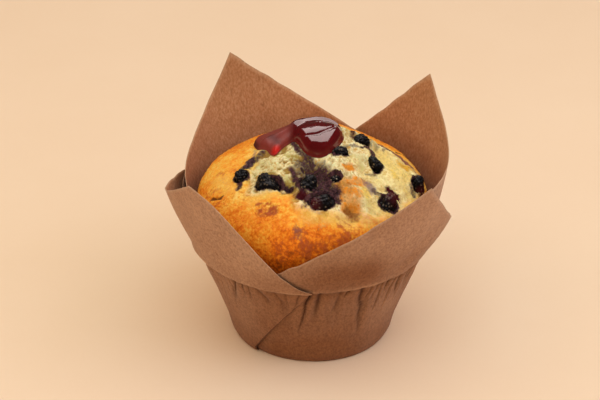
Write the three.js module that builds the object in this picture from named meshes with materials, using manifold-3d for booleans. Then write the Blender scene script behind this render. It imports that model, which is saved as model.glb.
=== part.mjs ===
// A blueberry muffin in a folded tulip wrap, with a spoonful of jam on top.
// Millimetres, +Z up. The wrap stands on the origin, and its open front valley looks along -Y.

import * as THREE from "three";
import Module from "manifold-3d";

const wasm = await Module();
wasm.setup();

// ---------------------------------------------------------------- sizes

const CLEARANCE = 0.32; // air between two pieces that touch

const PAPER_THICKNESS = 0.25;
const LAYER_PITCH = 0.55; // from one layer of a pleat to the next
const BASE_RADIUS = 24.9; // innermost layer, at the floor
const RIM_RADIUS = 37.05; // innermost layer, at the crease that bounds the cup
const RIM_HEIGHT = 33.7;
const BASE_ROUNDING = 1;
const CUP_HOLLOW = 0.75; // the cup's wall draws in between its base and its rim
const PETAL_BULGE = 0.7; // the muffin pushes the middle of each petal outwards

const CROWN_CENTRE = 45; // height at which the muffin is widest
const CROWN_RADIUS = 37.3;
const CROWN_RISE = 17.4;
const CROWN_POWER = 2.3; // 2 is an ellipse, more is squarer in section
const PEAK = { x: 2.9, y: 5.5, rise: 7.8, spread: 10.5 };

const COLOUR = {
  paper: 0x9a6440,
  muffin: 0xd78a36,
  jam: 0x5c1013,
  berry: 0x241d22,
};

// ---------------------------------------------------------------- helpers

const DEG = Math.PI / 180;
const mix = (a, b, t) => a + (b - a) * t;
const clamp = (t) => Math.min(1, Math.max(0, t));

function smooth(from, to, value) {
  const t = clamp((value - from) / (to - from));
  return t * t * (3 - 2 * t);
}

function around(azimuth, radius, height) {
  const a = azimuth * DEG;
  return new THREE.Vector3(radius * Math.cos(a), radius * Math.sin(a), height);
}

// A repeatable value from 0 to 1 for each corner of a cubic lattice.
function lattice(i, j, k) {
  const s = Math.sin(i * 127.1 + j * 311.7 + k * 74.7 + 19.3) * 43758.5453;
  return s - Math.floor(s);
}

// Smooth noise from -1 to 1.
function noise(x, y, z) {
  const [i, j, k] = [Math.floor(x), Math.floor(y), Math.floor(z)];
  const [u, v, w] = [smooth(0, 1, x - i), smooth(0, 1, y - j), smooth(0, 1, z - k)];
  let sum = 0;
  for (const [a, fa] of [[0, 1 - u], [1, u]]) {
    for (const [b, fb] of [[0, 1 - v], [1, v]]) {
      for (const [c, fc] of [[0, 1 - w], [1, w]]) {
        sum += fa * fb * fc * lattice(i + a, j + b, k + c);
      }
    }
  }
  return 2 * sum - 1;
}

function meshOf(name, positions, triangles, colour) {
  const geometry = new THREE.BufferGeometry();
  geometry.setAttribute("position", new THREE.Float32BufferAttribute(positions, 3));
  geometry.setIndex(triangles);
  geometry.computeVertexNormals();
  const mesh = new THREE.Mesh(geometry, new THREE.MeshStandardMaterial({ color: colour }));
  mesh.name = name;
  return mesh;
}

function solidOf(positions, triangles) {
  return new wasm.Manifold(
    new wasm.Mesh({
      numProp: 3,
      vertProperties: new Float32Array(positions),
      triVerts: new Uint32Array(triangles),
    }),
  );
}

function meshOfSolid(name, solid, colour) {
  const made = solid.getMesh();
  return meshOf(name, Array.from(made.vertProperties), Array.from(made.triVerts), colour);
}

// Radius of the innermost layer of the cup.
function cupRadius(height) {
  const cone = mix(BASE_RADIUS, RIM_RADIUS, height / RIM_HEIGHT);
  return cone - CUP_HOLLOW * smooth(0, 9, height) * (1 - smooth(29, RIM_HEIGHT, height));
}

// ---------------------------------------------------------------- the wrap

// One square sheet, pressed round a mould. Its four corners stand up as petals, and what is left
// over between two petals lies in a pleat of three layers.
// Each half of a petal's top edge runs from the corner to a valley, as [azimuth, radius, height].
// "out" and "up" bow it in radius and height, and each skew moves that bow towards the corner.
// "pleat" is how far the middle layer of the pleat after the petal stands off at its top.
const PETALS = [
  {
    name: "front_left",
    corner: [225, 52.9, 71.8],
    start: { at: [156, 43.4, 49.6], out: -0.8, outSkew: 0.3, up: -5.4, upSkew: 0.05 },
    end: { at: [269.3, 38.5, 34.4], out: -1.3, outSkew: 1, up: -2.9, upSkew: -1.3 },
    layer: [2, 2],
    pleat: 0,
    rim: [160, 222, 269],
    base: [148, 190, 224.5],
  },
  {
    name: "front_right",
    corner: [310, 54.7, 73.3],
    start: { at: [243, 38.6, 36.6], out: -0.7, outSkew: 0, up: -1.2, upSkew: -0.22 },
    end: { at: [352, 44.8, 43.6], out: -1.55, outSkew: -0.43, up: -4.2, upSkew: 0.28 },
    layer: [0, 1],
    pleat: 1.2,
    rim: [247, 306, 350],
    base: [203, 292, 365],
  },
  {
    name: "back_right",
    corner: [396.9, 48.2, 77.3],
    start: { at: [314, 38.6, 52.5], out: -0.7, outSkew: 0, up: -5.5, upSkew: 1.85 },
    end: { at: [442, 41.8, 45.1], out: -1.2, outSkew: -0.1, up: -2.6, upSkew: -0.43 },
    layer: [-1, 2],
    pleat: 0.6,
    rim: [320, 394, 440],
    base: [335, 402, 455],
  },
  {
    name: "back_left",
    corner: [482.9, 50.2, 78.9],
    start: { at: [412, 38.6, 47.2], out: -1.1, outSkew: 0.26, up: -4.4, upSkew: 0.31 },
    end: { at: [554, 38.5, 47.1], out: -0.8, outSkew: 0, up: -7.9, upSkew: 1.06 },
    layer: [0, 0],
    pleat: 1,
    rim: [415, 483, 548],
    base: [428, 480, 535],
  },
];

const PETAL_STEP = 10; // degrees of the rim from one column to the next
const FOLD_STEP = 10;
const TURN_STEPS = 4; // flats round each fold of a pleat
const CUP_ROWS = 6;
const PETAL_ROWS = 5;

// A point of a petal's top edge: half is its "start" or "end", u runs from the corner to the valley.
function edgePoint(petal, half, u) {
  const [az, radius, height] = petal.corner;
  const bow = 4 * u * (1 - u);
  return [
    mix(az, half.at[0], u),
    mix(radius, half.at[1], u) + half.out * bow * (1 + half.outSkew * (1 - 2 * u)),
    mix(height, half.at[2], u) + half.up * bow * (1 + half.upSkew * (1 - 2 * u)),
  ];
}

// A column of the sheet: where it leaves the base, crosses the rim crease and ends at the top edge.
// "layer" counts layers outwards. "turn" moves it along the sheet's fold, in millimetres.
function column(base, rim, top, layer, turn = 0) {
  return { base, rim, top, layer, turn };
}

// The columns of one petal's panel, from its start to its end.
function petalColumns(petal) {
  const columns = [];
  const halves = [
    { half: petal.start, from: 1, to: 0, a: 0, b: 1 },
    { half: petal.end, from: 0, to: 1, a: 1, b: 2 },
  ];
  const span = petal.rim[2] - petal.rim[0];
  for (const { half, from, to, a, b } of halves) {
    const steps = Math.round((petal.rim[b] - petal.rim[a]) / PETAL_STEP);
    for (let i = a; i <= steps; i++) {
      const t = i / steps;
      const rim = mix(petal.rim[a], petal.rim[b], t);
      const along = smooth(0.32, 0.7, (rim - petal.rim[0]) / span);
      columns.push(
        column(
          mix(petal.base[a], petal.base[b], t),
          rim,
          edgePoint(petal, half, mix(from, to, t)),
          mix(petal.layer[0], petal.layer[1], along),
        ),
      );
    }
  }
  return columns;
}

// The two folds between one petal's end and the next petal's start, with the layer between them.
function pleatColumns(first, next, turnBack) {
  const columns = [];
  const start = first.end.at;
  const end = [next.start.at[0] + turnBack, next.start.at[1], next.start.at[2]];
  const outer = first.layer[1];
  const inner = next.layer[0];
  const middle = (outer + inner) / 2;
  const fold = (at, base, rim, from, to, side) => {
    for (let i = 1; i < TURN_STEPS; i++) {
      const angle = (Math.PI * i) / TURN_STEPS;
      const layer = mix(from, to, (1 - Math.cos(angle)) / 2);
      const reach = (side * Math.sin(angle) * LAYER_PITCH) / 2;
      const top = [at[0], at[1] + (layer - from) * LAYER_PITCH, at[2]];
      columns.push(column(base, rim, top, layer, reach));
    }
  };
  const baseTo = next.base[0] + turnBack;
  const rimTo = next.rim[0] + turnBack;
  fold(start, first.base[2], first.rim[2], outer, middle, 1);
  const steps = Math.round((first.rim[2] - rimTo) / FOLD_STEP);
  for (let i = 0; i <= steps; i++) {
    const t = i / steps;
    const bow = first.pleat * Math.sin(Math.PI * t);
    const top = [
      mix(start[0], end[0], t),
      mix(start[1] - LAYER_PITCH, end[1] + LAYER_PITCH, t) + bow,
      mix(start[2], end[2], t),
    ];
    columns.push(column(mix(first.base[2], baseTo, t), mix(first.rim[2], rimTo, t), top, middle));
  }
  const near = [end[0], end[1] + LAYER_PITCH, end[2]];
  fold(near, baseTo, rimTo, middle, inner, -1);
  return columns;
}

function sheetColumns() {
  const columns = [];
  PETALS.forEach((petal, i) => {
    const next = PETALS[(i + 1) % PETALS.length];
    const turnBack = i === PETALS.length - 1 ? 360 : 0;
    columns.push(...petalColumns(petal), ...pleatColumns(petal, next, turnBack));
  });
  return columns;
}

// The middle of the sheet in one column, from the flat base up to the top edge.
function columnPoints(col) {
  const points = [];
  const shift = col.layer * LAYER_PITCH;
  const place = (azimuth, radius, height) => {
    const turned = azimuth + col.turn / radius / DEG;
    points.push(around(turned, radius, height));
  };
  const half = PAPER_THICKNESS / 2;
  place(col.base, BASE_RADIUS + shift - BASE_ROUNDING, half);
  place(col.base, BASE_RADIUS + shift - 0.25 * BASE_ROUNDING, half + 0.3 * BASE_ROUNDING);
  for (let i = 1; i <= CUP_ROWS; i++) {
    const t = i / CUP_ROWS;
    const height = mix(1.6 * BASE_ROUNDING, RIM_HEIGHT, t);
    const radius = cupRadius(height);
    // A straight fold line on the cone turns faster where the cone is narrow.
    const turned = (t * (1 + RIM_RADIUS / radius)) / 2;
    place(mix(col.base, col.rim, turned), radius + shift, height);
  }
  for (let i = 1; i <= PETAL_ROWS; i++) {
    const t = i / PETAL_ROWS;
    const rise = col.top[2] - RIM_HEIGHT;
    const bulge = PETAL_BULGE * 4 * t * (1 - t) * smooth(0, 12, rise);
    place(
      mix(col.rim, col.top[0], t),
      mix(RIM_RADIUS + shift, col.top[1], t) + bulge,
      mix(RIM_HEIGHT, col.top[2], t),
    );
  }
  return points;
}

function makePaperCase() {
  const grid = sheetColumns().map(columnPoints);
  const count = grid.length;
  const rows = grid[0].length;
  const positions = [];
  const index = (side, i, j) => (side * count + ((i + count) % count)) * rows + j;
  for (const side of [0, 1]) {
    for (let i = 0; i < count; i++) {
      for (let j = 0; j < rows; j++) {
        const along = grid[(i + 1) % count][j].clone().sub(grid[(i + count - 1) % count][j]);
        const up = grid[i][Math.min(j + 1, rows - 1)].clone().sub(grid[i][Math.max(j - 1, 0)]);
        const normal = j === 0 ? new THREE.Vector3(0, 0, -1) : along.cross(up).normalize();
        const offset = ((side === 0 ? 1 : -1) * PAPER_THICKNESS) / 2;
        positions.push(...grid[i][j].clone().addScaledVector(normal, offset).toArray());
      }
    }
  }
  const triangles = [];
  for (let i = 0; i < count; i++) {
    for (let j = 0; j < rows - 1; j++) {
      // A slanting fold skews the grid: the shorter diagonal keeps the facets close to the cone.
      const next = grid[(i + 1) % count];
      const leaning = grid[i][j].distanceTo(next[j + 1]) > next[j].distanceTo(grid[i][j + 1]);
      for (const side of [0, 1]) {
        const [a, b] = [index(side, i, j), index(side, i + 1, j)];
        const [c, d] = [index(side, i + 1, j + 1), index(side, i, j + 1)];
        const faces = leaning ? [a, b, d, b, c, d] : [a, b, c, a, c, d];
        triangles.push(...(side === 0 ? faces : faces.reverse()));
      }
    }
    const top = rows - 1;
    triangles.push(index(0, i, top), index(0, i + 1, top), index(1, i + 1, top));
    triangles.push(index(0, i, top), index(1, i + 1, top), index(1, i, top));
  }
  const outline = grid.map((points) => new THREE.Vector2(points[0].x, points[0].y));
  for (const [a, b, c] of THREE.ShapeUtils.triangulateShape(outline, [])) {
    triangles.push(index(0, a, 0), index(0, c, 0), index(0, b, 0));
    triangles.push(index(1, a, 0), index(1, b, 0), index(1, c, 0));
  }
  return { positions, triangles };
}

// ---------------------------------------------------------------- the muffin

// The crown split as it rose: inside this oval the pale crumb shows, outside it lies smooth crust.
const SPLIT = { x: 7, y: -10, rx: 28, ry: 18 };

// Swells and hollows of the crown, seen from above: centre, size across and rise.
const SWELLS = {
  mound_left: { x: -12.5, y: -9, size: 5, rise: 2 },
  mound_front: { x: 8, y: -10.5, size: 5, rise: 2 },
  bump_front: { x: 12, y: -21.5, size: 4.5, rise: 2.1 },
  mound_right: { x: 27, y: -8, size: 5.5, rise: 1.4 },
  mound_back: { x: 24, y: 3, size: 4.5, rise: 0.5 },
  crust_tongue: { x: -8, y: -24, size: 6, rise: 1.2 },
  crust_left: { x: -28, y: -6, size: 8, rise: 0.5 },
  stained_hollow: { x: -1, y: -13, size: 4, rise: -1.8 },
  crease_left: { x: -8, y: -18.6, size: 3, rise: -1.6 },
  pit_front: { x: 11.9, y: -28, size: 2.8, rise: -2 },
  pit_right: { x: 29.3, y: 0.9, size: 2.8, rise: -1.6 },
  saddle: { x: 16, y: -9, size: 3, rise: -1.8 },
};

// How far a plan position lies out from the middle of the split: 1 on its edge.
function splitReach(x, y) {
  const ragged = 0.09 * noise(x / 5, y / 5, 3);
  return Math.hypot((x - SPLIT.x) / SPLIT.rx, (y - SPLIT.y) / SPLIT.ry) + ragged;
}

function relief(x, y) {
  const reach = splitReach(x, y);
  const crumb = 1 - smooth(0.9, 1.04, reach);
  const lip = 0.8 * Math.exp(-(((reach - 1.03) / 0.07) ** 2));
  let height = lip - 0.7 * crumb;
  const bare = smooth(9, 16, Math.hypot(x - JAM_MIDDLE.x, y - JAM_MIDDLE.y));
  height += bare * crumb * 0.9 * noise(x / 4.6, y / 4.6, 1);
  height += 0.35 * noise(x / 9, y / 9, 7);
  for (const swell of Object.values(SWELLS)) {
    const d2 = ((x - swell.x) ** 2 + (y - swell.y) ** 2) / swell.size ** 2;
    height += swell.rise * Math.exp(-d2);
  }
  return height;
}

// Height of the crown over a plan position, good out to about two thirds of its radius.
function crownHeight(x, y) {
  const r = Math.hypot(x, y) / CROWN_RADIUS;
  const dome = CROWN_RISE * (1 - r ** CROWN_POWER) ** (1 / CROWN_POWER);
  return CROWN_CENTRE + dome + peak(x, y) + relief(x, y);
}

function peak(x, y) {
  const d2 = ((x - PEAK.x) ** 2 + (y - PEAK.y) ** 2) / (2 * PEAK.spread ** 2);
  return PEAK.rise * Math.exp(-d2);
}

// A point of the crown: polar 0 is straight up, 90 is level with the widest ring.
function crownPoint(azimuth, polar) {
  const s = Math.sin(polar * DEG);
  const c = Math.max(Math.cos(polar * DEG), 1e-9);
  const power = CROWN_POWER;
  const reach = ((s / CROWN_RADIUS) ** power + (c / CROWN_RISE) ** power) ** (-1 / power);
  const point = around(azimuth, reach * s, CROWN_CENTRE + reach * c);
  const normal = new THREE.Vector3(
    point.x / CROWN_RADIUS ** 2,
    point.y / CROWN_RADIUS ** 2,
    (point.z - CROWN_CENTRE) / CROWN_RISE ** 2,
  ).normalize();
  const side = smooth(0.66, 0.98, (reach * s) / CROWN_RADIUS);
  const up = new THREE.Vector3(0, 0, 1);
  const direction = up.lerp(normal, side).normalize();
  const rise = relief(point.x, point.y) * (1 - smooth(0.9, 1, side));
  point.addScaledVector(direction, rise / Math.max(direction.z, 0.5));
  point.z += peak(point.x, point.y) * (1 - side);
  return point;
}

const MUFFIN_COLUMNS = 64;
const CROWN_ROWS = 22;

function makeMuffin() {
  const rings = [];
  const ring = (at) => {
    rings.push(Array.from({ length: MUFFIN_COLUMNS }, (_, i) => at((360 * i) / MUFFIN_COLUMNS)));
  };
  const inset = PAPER_THICKNESS / 2 + CLEARANCE + 0.2;
  // On the right the pleat presses one layer into the muffin.
  const side = (azimuth, radius, height) => {
    const away = Math.abs(azimuth - 340 + (azimuth < 160 ? 360 : 0));
    const press = (LAYER_PITCH + 0.1) * (1 - smooth(35, 60, away));
    return around(azimuth, radius - inset - press, height);
  };
  const bottom = PAPER_THICKNESS + CLEARANCE;
  ring((a) => side(a, BASE_RADIUS - BASE_ROUNDING - 1, bottom));
  ring((a) => side(a, BASE_RADIUS - 0.2, bottom + 1.4));
  for (const height of [12.3, 23, 28.3, RIM_HEIGHT]) {
    ring((a) => side(a, cupRadius(height), height));
  }
  const shoulder = mix(RIM_RADIUS, CROWN_RADIUS, 0.6);
  ring((a) => side(a, shoulder + inset, mix(RIM_HEIGHT, CROWN_CENTRE, 0.5)));
  for (let i = 0; i < CROWN_ROWS; i++) {
    // Rings follow the arc's length: the flat crown needs more of them than its steep flank.
    const t = 1 - i / CROWN_ROWS;
    const polar = 90 * mix(t, t ** 0.75, 0.5);
    ring((a) => crownPoint(a, polar));
  }
  const positions = rings.flat().flatMap((p) => p.toArray());
  const triangles = [];
  const n = MUFFIN_COLUMNS;
  for (let j = 0; j < rings.length - 1; j++) {
    for (let i = 0; i < n; i++) {
      const [a, b] = [j * n + i, j * n + ((i + 1) % n)];
      const [c, d] = [b + n, a + n];
      triangles.push(a, b, c, a, c, d);
    }
  }
  const low = positions.length / 3;
  positions.push(0, 0, bottom);
  const high = low + 1;
  positions.push(...crownPoint(0, 0).toArray());
  const last = (rings.length - 1) * n;
  for (let i = 0; i < n; i++) {
    const next = (i + 1) % n;
    triangles.push(low, next, i);
    triangles.push(high, last + i, last + next);
  }
  return solidOf(positions, triangles);
}

// ---------------------------------------------------------------- the blueberries

// Plan position, half sizes (along its own x, y and z), how deep its middle sits below the crumb,
// and its turn about the vertical.
const BERRIES = [
  { x: -22.5, y: -10.3, size: [2.5, 2.5, 2.7], depth: 0.6, turn: 0 },
  { x: -14, y: -16.2, size: [4.1, 3.2, 3.4], depth: 0.8, turn: -15 },
  { x: -2, y: -17.6, size: [3, 2.8, 3], depth: 0.9, turn: 0 },
  { x: 2.6, y: -25, size: [4.3, 3.1, 3.5], depth: 0.9, turn: 8 },
  { x: 15.6, y: 4.9, size: [2.6, 2.3, 2.2], depth: 0.5, turn: 0 },
  { x: 20, y: -4.2, size: [2.1, 3.3, 2.4], depth: 0.6, turn: 20 },
  { x: 23.5, y: -20.2, size: [2.9, 3.4, 3.6], depth: 0.9, turn: -20 },
  { x: 34, y: -5.2, size: [2.2, 2.6, 3.6], depth: 0.8, turn: 0 },
  { x: 8.6, y: -6.2, size: [2.8, 2.2, 2.2], depth: 0.9, turn: 0 },
  { x: 6.8, y: -15.4, size: [2.3, 2, 2.2], depth: 0.9, turn: 0 },
];
const BERRY_DETAIL = 2;

// Where a berry sits: on the crown's surface, moved inwards along the way the surface faces.
function berryCentre(berry) {
  const azimuth = Math.atan2(berry.y, berry.x) / DEG;
  const wanted = Math.hypot(berry.x, berry.y);
  let [low, high] = [0, 90];
  for (let i = 0; i < 40; i++) {
    const polar = (low + high) / 2;
    const p = crownPoint(azimuth, polar);
    if (Math.hypot(p.x, p.y) < wanted) low = polar;
    else high = polar;
  }
  const point = crownPoint(azimuth, low);
  const step = 1.5;
  const up = crownPoint(azimuth, Math.max(low - step, 0)).sub(crownPoint(azimuth, low + step));
  const across = crownPoint(azimuth + step, low).sub(crownPoint(azimuth - step, low));
  const normal = across.cross(up).normalize();
  return point.addScaledVector(normal, -berry.depth);
}

// A shrivelled ball: long dimples run round it.
function berryPoints(berry, growth) {
  const ball = new THREE.IcosahedronGeometry(1, BERRY_DETAIL);
  const at = ball.getAttribute("position");
  const centre = berryCentre(berry);
  const up = new THREE.Vector3(0, 0, 1);
  const corners = [];
  for (let i = 0; i < at.count; i++) {
    const p = new THREE.Vector3().fromBufferAttribute(at, i).normalize();
    const dimple = 1 + 0.07 * noise(p.x * 2 + berry.x, p.y * 2 + berry.y, p.z * 2);
    p.set(
      p.x * (berry.size[0] * dimple + growth),
      p.y * (berry.size[1] * dimple + growth),
      p.z * (berry.size[2] * dimple + growth),
    );
    p.applyAxisAngle(up, berry.turn * DEG).add(centre);
    corners.push(p);
  }
  return corners;
}

function berrySolid(berry, growth) {
  const positions = [];
  const triangles = [];
  const seen = new Map();
  for (const p of berryPoints(berry, growth)) {
    const key = p.toArray().map((v) => v.toFixed(4)).join(",");
    if (!seen.has(key)) {
      seen.set(key, positions.length / 3);
      positions.push(...p.toArray());
    }
    triangles.push(seen.get(key));
  }
  return solidOf(positions, triangles);
}

// ---------------------------------------------------------------- the jam

// Pools of jam, seen from above: centre, half sizes and depth. They run into one another.
const JAM_MIDDLE = { x: -1, y: 3.5 };
const JAM_POOLS = [
  { x: 1.4, y: 1.6, rx: 8.7, ry: 9.4, depth: 4 },
  { x: -5.5, y: 5, rx: 6, ry: 5.5, depth: 2.4 },
  { x: -10.8, y: 5.6, rx: 8, ry: 7.8, depth: 1.9 },
];
const JAM_EDGE = 0.5; // thickness of the rounded rim of a pool
const JAM_ROOT = 1; // made this deep below the crown, then cut off along it
const JAM_SPOKES = 36;
const JAM_RINGS = 7;

function jamDepth(x, y) {
  let depth = 0;
  for (const pool of JAM_POOLS) {
    const d = Math.hypot((x - pool.x) / pool.rx, (y - pool.y) / pool.ry);
    if (d < 1) depth = Math.max(depth, pool.depth * (1 - d * d) ** 0.6);
  }
  return depth;
}

// The farthest point along a spoke that is still under jam.
function jamReach(angle) {
  let reach = 0;
  for (let r = 0; r < 26; r += 0.1) {
    const depth = jamDepth(JAM_MIDDLE.x + r * Math.cos(angle), JAM_MIDDLE.y + r * Math.sin(angle));
    if (depth > 0) reach = r;
  }
  return reach;
}

function makeJam() {
  const positions = [];
  const place = (x, y, lift) => positions.push(x, y, crownHeight(x, y) + lift);
  const rings = JAM_RINGS;
  const spokes = JAM_SPOKES;
  for (const side of [0, 1]) {
    for (let i = 0; i < spokes; i++) {
      const angle = (2 * Math.PI * i) / spokes;
      const reach = jamReach(angle);
      for (let j = 1; j <= rings; j++) {
        const r = reach * (1 - (1 - j / rings) ** 1.4);
        const x = JAM_MIDDLE.x + r * Math.cos(angle);
        const y = JAM_MIDDLE.y + r * Math.sin(angle);
        place(x, y, side === 0 ? CLEARANCE + Math.max(jamDepth(x, y), JAM_EDGE) : -JAM_ROOT);
      }
    }
  }
  const [topMiddle, lowMiddle] = [2 * spokes * rings, 2 * spokes * rings + 1];
  place(JAM_MIDDLE.x, JAM_MIDDLE.y, CLEARANCE + jamDepth(JAM_MIDDLE.x, JAM_MIDDLE.y));
  place(JAM_MIDDLE.x, JAM_MIDDLE.y, -JAM_ROOT);
  const at = (side, i, j) => (side * spokes + (i % spokes)) * rings + j - 1;
  const triangles = [];
  for (let i = 0; i < spokes; i++) {
    triangles.push(topMiddle, at(0, i, 1), at(0, i + 1, 1));
    triangles.push(lowMiddle, at(1, i + 1, 1), at(1, i, 1));
    for (let j = 1; j < rings; j++) {
      const [a, b, c, d] = [at(0, i, j), at(0, i, j + 1), at(0, i + 1, j + 1), at(0, i + 1, j)];
      triangles.push(a, b, c, a, c, d);
      const [e, f, g, h] = [at(1, i, j), at(1, i, j + 1), at(1, i + 1, j + 1), at(1, i + 1, j)];
      triangles.push(e, g, f, e, h, g);
    }
    const [a, b] = [at(0, i, rings), at(0, i + 1, rings)];
    const [c, d] = [at(1, i + 1, rings), at(1, i, rings)];
    triangles.push(a, d, c, a, c, b);
  }
  return solidOf(positions, triangles);
}

// ---------------------------------------------------------------- the whole

const group = new THREE.Group();
group.name = "blueberry_muffin";

const wrap = makePaperCase();
group.add(meshOf("paper_case", wrap.positions, wrap.triangles, COLOUR.paper));

let muffin = makeMuffin();
let jam = makeJam().subtract(muffin.translate([0, 0, CLEARANCE + 0.1]));
BERRIES.forEach((berry, i) => {
  const room = berrySolid(berry, CLEARANCE);
  muffin = muffin.subtract(room);
  jam = jam.subtract(room);
  group.add(meshOfSolid("blueberry_" + (i + 1), berrySolid(berry, 0), COLOUR.berry));
});
group.add(meshOfSolid("muffin", muffin, COLOUR.muffin));
group.add(meshOfSolid("jam", jam, COLOUR.jam));

export default group;
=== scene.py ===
# %% [markdown]
# # A blueberry muffin in its tulip paper case
# A tulip case is one square of brown baking paper pressed round a mould, so its four corners stand up
# like petals. The batter rises out of it, splits open on top, and is finished with a spoonful of jam.
# The measured solids come first. Every piece below is then made finer than its solid, in the same place.

import math

import bmesh
import bpy
import numpy as np
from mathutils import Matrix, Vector
from mathutils.geometry import tessellate_polygon


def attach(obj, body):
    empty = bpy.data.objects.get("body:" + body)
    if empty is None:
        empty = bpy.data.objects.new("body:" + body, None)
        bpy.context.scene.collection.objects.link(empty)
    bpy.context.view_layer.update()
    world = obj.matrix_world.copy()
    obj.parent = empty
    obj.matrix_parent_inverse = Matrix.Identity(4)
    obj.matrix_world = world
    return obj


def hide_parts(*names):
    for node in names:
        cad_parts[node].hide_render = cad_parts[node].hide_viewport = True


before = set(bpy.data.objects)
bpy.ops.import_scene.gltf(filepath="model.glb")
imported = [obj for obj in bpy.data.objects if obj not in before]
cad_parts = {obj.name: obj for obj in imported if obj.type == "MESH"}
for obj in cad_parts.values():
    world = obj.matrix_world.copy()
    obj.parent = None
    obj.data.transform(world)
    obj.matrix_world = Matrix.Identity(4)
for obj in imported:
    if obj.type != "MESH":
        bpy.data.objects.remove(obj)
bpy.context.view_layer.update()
MM = 0.001
print("solids:", ", ".join(sorted(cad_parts)))

# %% [markdown]
# ## Light and camera
# Food is often lit by wide soft lamps. Here cool ones hang in front and on the right, a weak warm one hangs
# on the left, and plain warm light from all round fills the shadows.
# A large white card hangs over the back of the food. It lights nothing by itself, but wet things such as
# jam mirror it. The softboxes are left out of reflections, so the card is the only bright shape in the jam.

# %% Camera
CAMERA_LENS = 120
SENSOR_WIDTH = 36
CAMERA_DISTANCE = 644
CAMERA_TILT = math.radians(29)
LOOK_AT = Vector((-4, 0, 46))

camera_data = bpy.data.cameras.new("camera")
camera_data.sensor_width = SENSOR_WIDTH
camera_data.lens = CAMERA_LENS
camera = bpy.data.objects.new("camera", camera_data)
bpy.context.scene.collection.objects.link(camera)
step_back = Vector((0, -math.cos(CAMERA_TILT), math.sin(CAMERA_TILT))) * CAMERA_DISTANCE
camera.location = (LOOK_AT + step_back) * MM
camera.rotation_euler = (math.pi / 2 - CAMERA_TILT, 0, 0)
bpy.context.scene.camera = camera
bpy.context.scene.view_settings.view_transform = "Standard"
print("camera", CAMERA_DISTANCE, "mm from the muffin")


# %% Soft lamps
MUFFIN_MIDDLE = Vector((0, 0, 0.04))


def add_soft_lamp(name, place, size, watts, colour):
    """A flat lamp turned towards the muffin."""
    lamp_data = bpy.data.lights.new(name, "AREA")
    lamp_data.shape = "RECTANGLE"
    lamp_data.size, lamp_data.size_y = size
    lamp_data.energy = watts
    lamp_data.color = colour
    lamp = bpy.data.objects.new(name, lamp_data)
    bpy.context.scene.collection.objects.link(lamp)
    lamp.location = place
    lamp.rotation_euler = (MUFFIN_MIDDLE - Vector(place)).to_track_quat("-Z", "Y").to_euler()
    return lamp


SOFTBOX_SIZE, SOFTBOX_WATTS = (0.8, 0.8), 4.2
CARD_SIZE, CARD_WATTS = (1.6, 1.15), 29
for side, place, colour in (
    ("right", (0.79, -0.26, 0.77), (0.57, 0.66, 0.97)),
    ("left", (-0.79, -0.26, 0.77), (0.21, 0.12, 0.08)),
    ("front", (0, -0.4, 1.09), (0.45, 0.79, 1.1)),
):
    softbox = add_soft_lamp(side + "_softbox", place, SOFTBOX_SIZE, SOFTBOX_WATTS, colour)
    softbox.visible_glossy = False
white_card = add_soft_lamp("white_card", (0, 0.45, 1.16), CARD_SIZE, CARD_WATTS, (1, 0.89, 0.85))
white_card.visible_diffuse = False

# %% Light from all round, dimmer in reflections so that dark berries stay dark
ROOM_COLOUR = (1.24, 1.15, 0.92, 1)
ROOM_LIGHT = 0.67
ROOM_IN_REFLECTIONS = 0.05
world = bpy.data.worlds.new("studio")
world.use_nodes = True
surround = world.node_tree.nodes["Background"]
surround.inputs["Color"].default_value = ROOM_COLOUR
ray = world.node_tree.nodes.new("ShaderNodeLightPath")
dimmer = world.node_tree.nodes.new("ShaderNodeMapRange")
dimmer.inputs["To Min"].default_value = ROOM_LIGHT
dimmer.inputs["To Max"].default_value = ROOM_IN_REFLECTIONS
world.node_tree.links.new(ray.outputs["Is Glossy Ray"], dimmer.inputs["Value"])
world.node_tree.links.new(dimmer.outputs[0], surround.inputs["Strength"])
bpy.context.scene.world = world
print("three softboxes, a white card and the room's light")

# %% [markdown]
# ## Helpers for shapes
# Crumb, crust and paper are all uneven, so every shape below adds some noise to a smooth form. Value noise
# joins random heights on a lattice. Cell noise gives the distance to scattered points, as between bubbles.


# %% Blending and noise
def mix(a, b, t):
    """The way from a at 0 to b at 1."""
    return a + (b - a) * t


def smooth(low, high, value):
    """A soft step from 0 at low to 1 at high. It runs downwards where low is the larger one."""
    t = np.clip((value - low) / (high - low), 0.0, 1.0)
    return t * t * (3 - 2 * t)


def bell(value, width):
    """A smooth bump: 1 where the value is 0, and next to nothing two widths away."""
    return np.exp(-((value / width) ** 2))


def lattice(i, j, k):
    """A number from 0 to 1 for each whole place, the same in every run."""
    s = np.sin(i * 127.1 + j * 311.7 + k * 74.7 + 19.3) * 43758.5453
    return s - np.floor(s)


def noise(x, y, z):
    """Value noise, from -1 to 1."""
    x, y, z = np.broadcast_arrays(x, y, z)
    i, j, k = np.floor(x), np.floor(y), np.floor(z)
    u, v, w = smooth(0, 1, x - i), smooth(0, 1, y - j), smooth(0, 1, z - k)
    total = 0
    for a, fa in ((0, 1 - u), (1, u)):
        for b, fb in ((0, 1 - v), (1, v)):
            for c, fc in ((0, 1 - w), (1, w)):
                total = total + fa * fb * fc * lattice(i + a, j + b, k + c)
    return 2 * total - 1


def cloud(x, y, z, octaves=3):
    """Noise with finer and fainter noise laid over it."""
    total, share = 0, 1
    for _ in range(octaves):
        total = total + share * noise(x, y, z)
        x, y, z, share = x * 2.03 + 5.1, y * 2.03 + 1.7, z * 2.03 + 9.4, share * 0.5
    return total / 1.75


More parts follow.
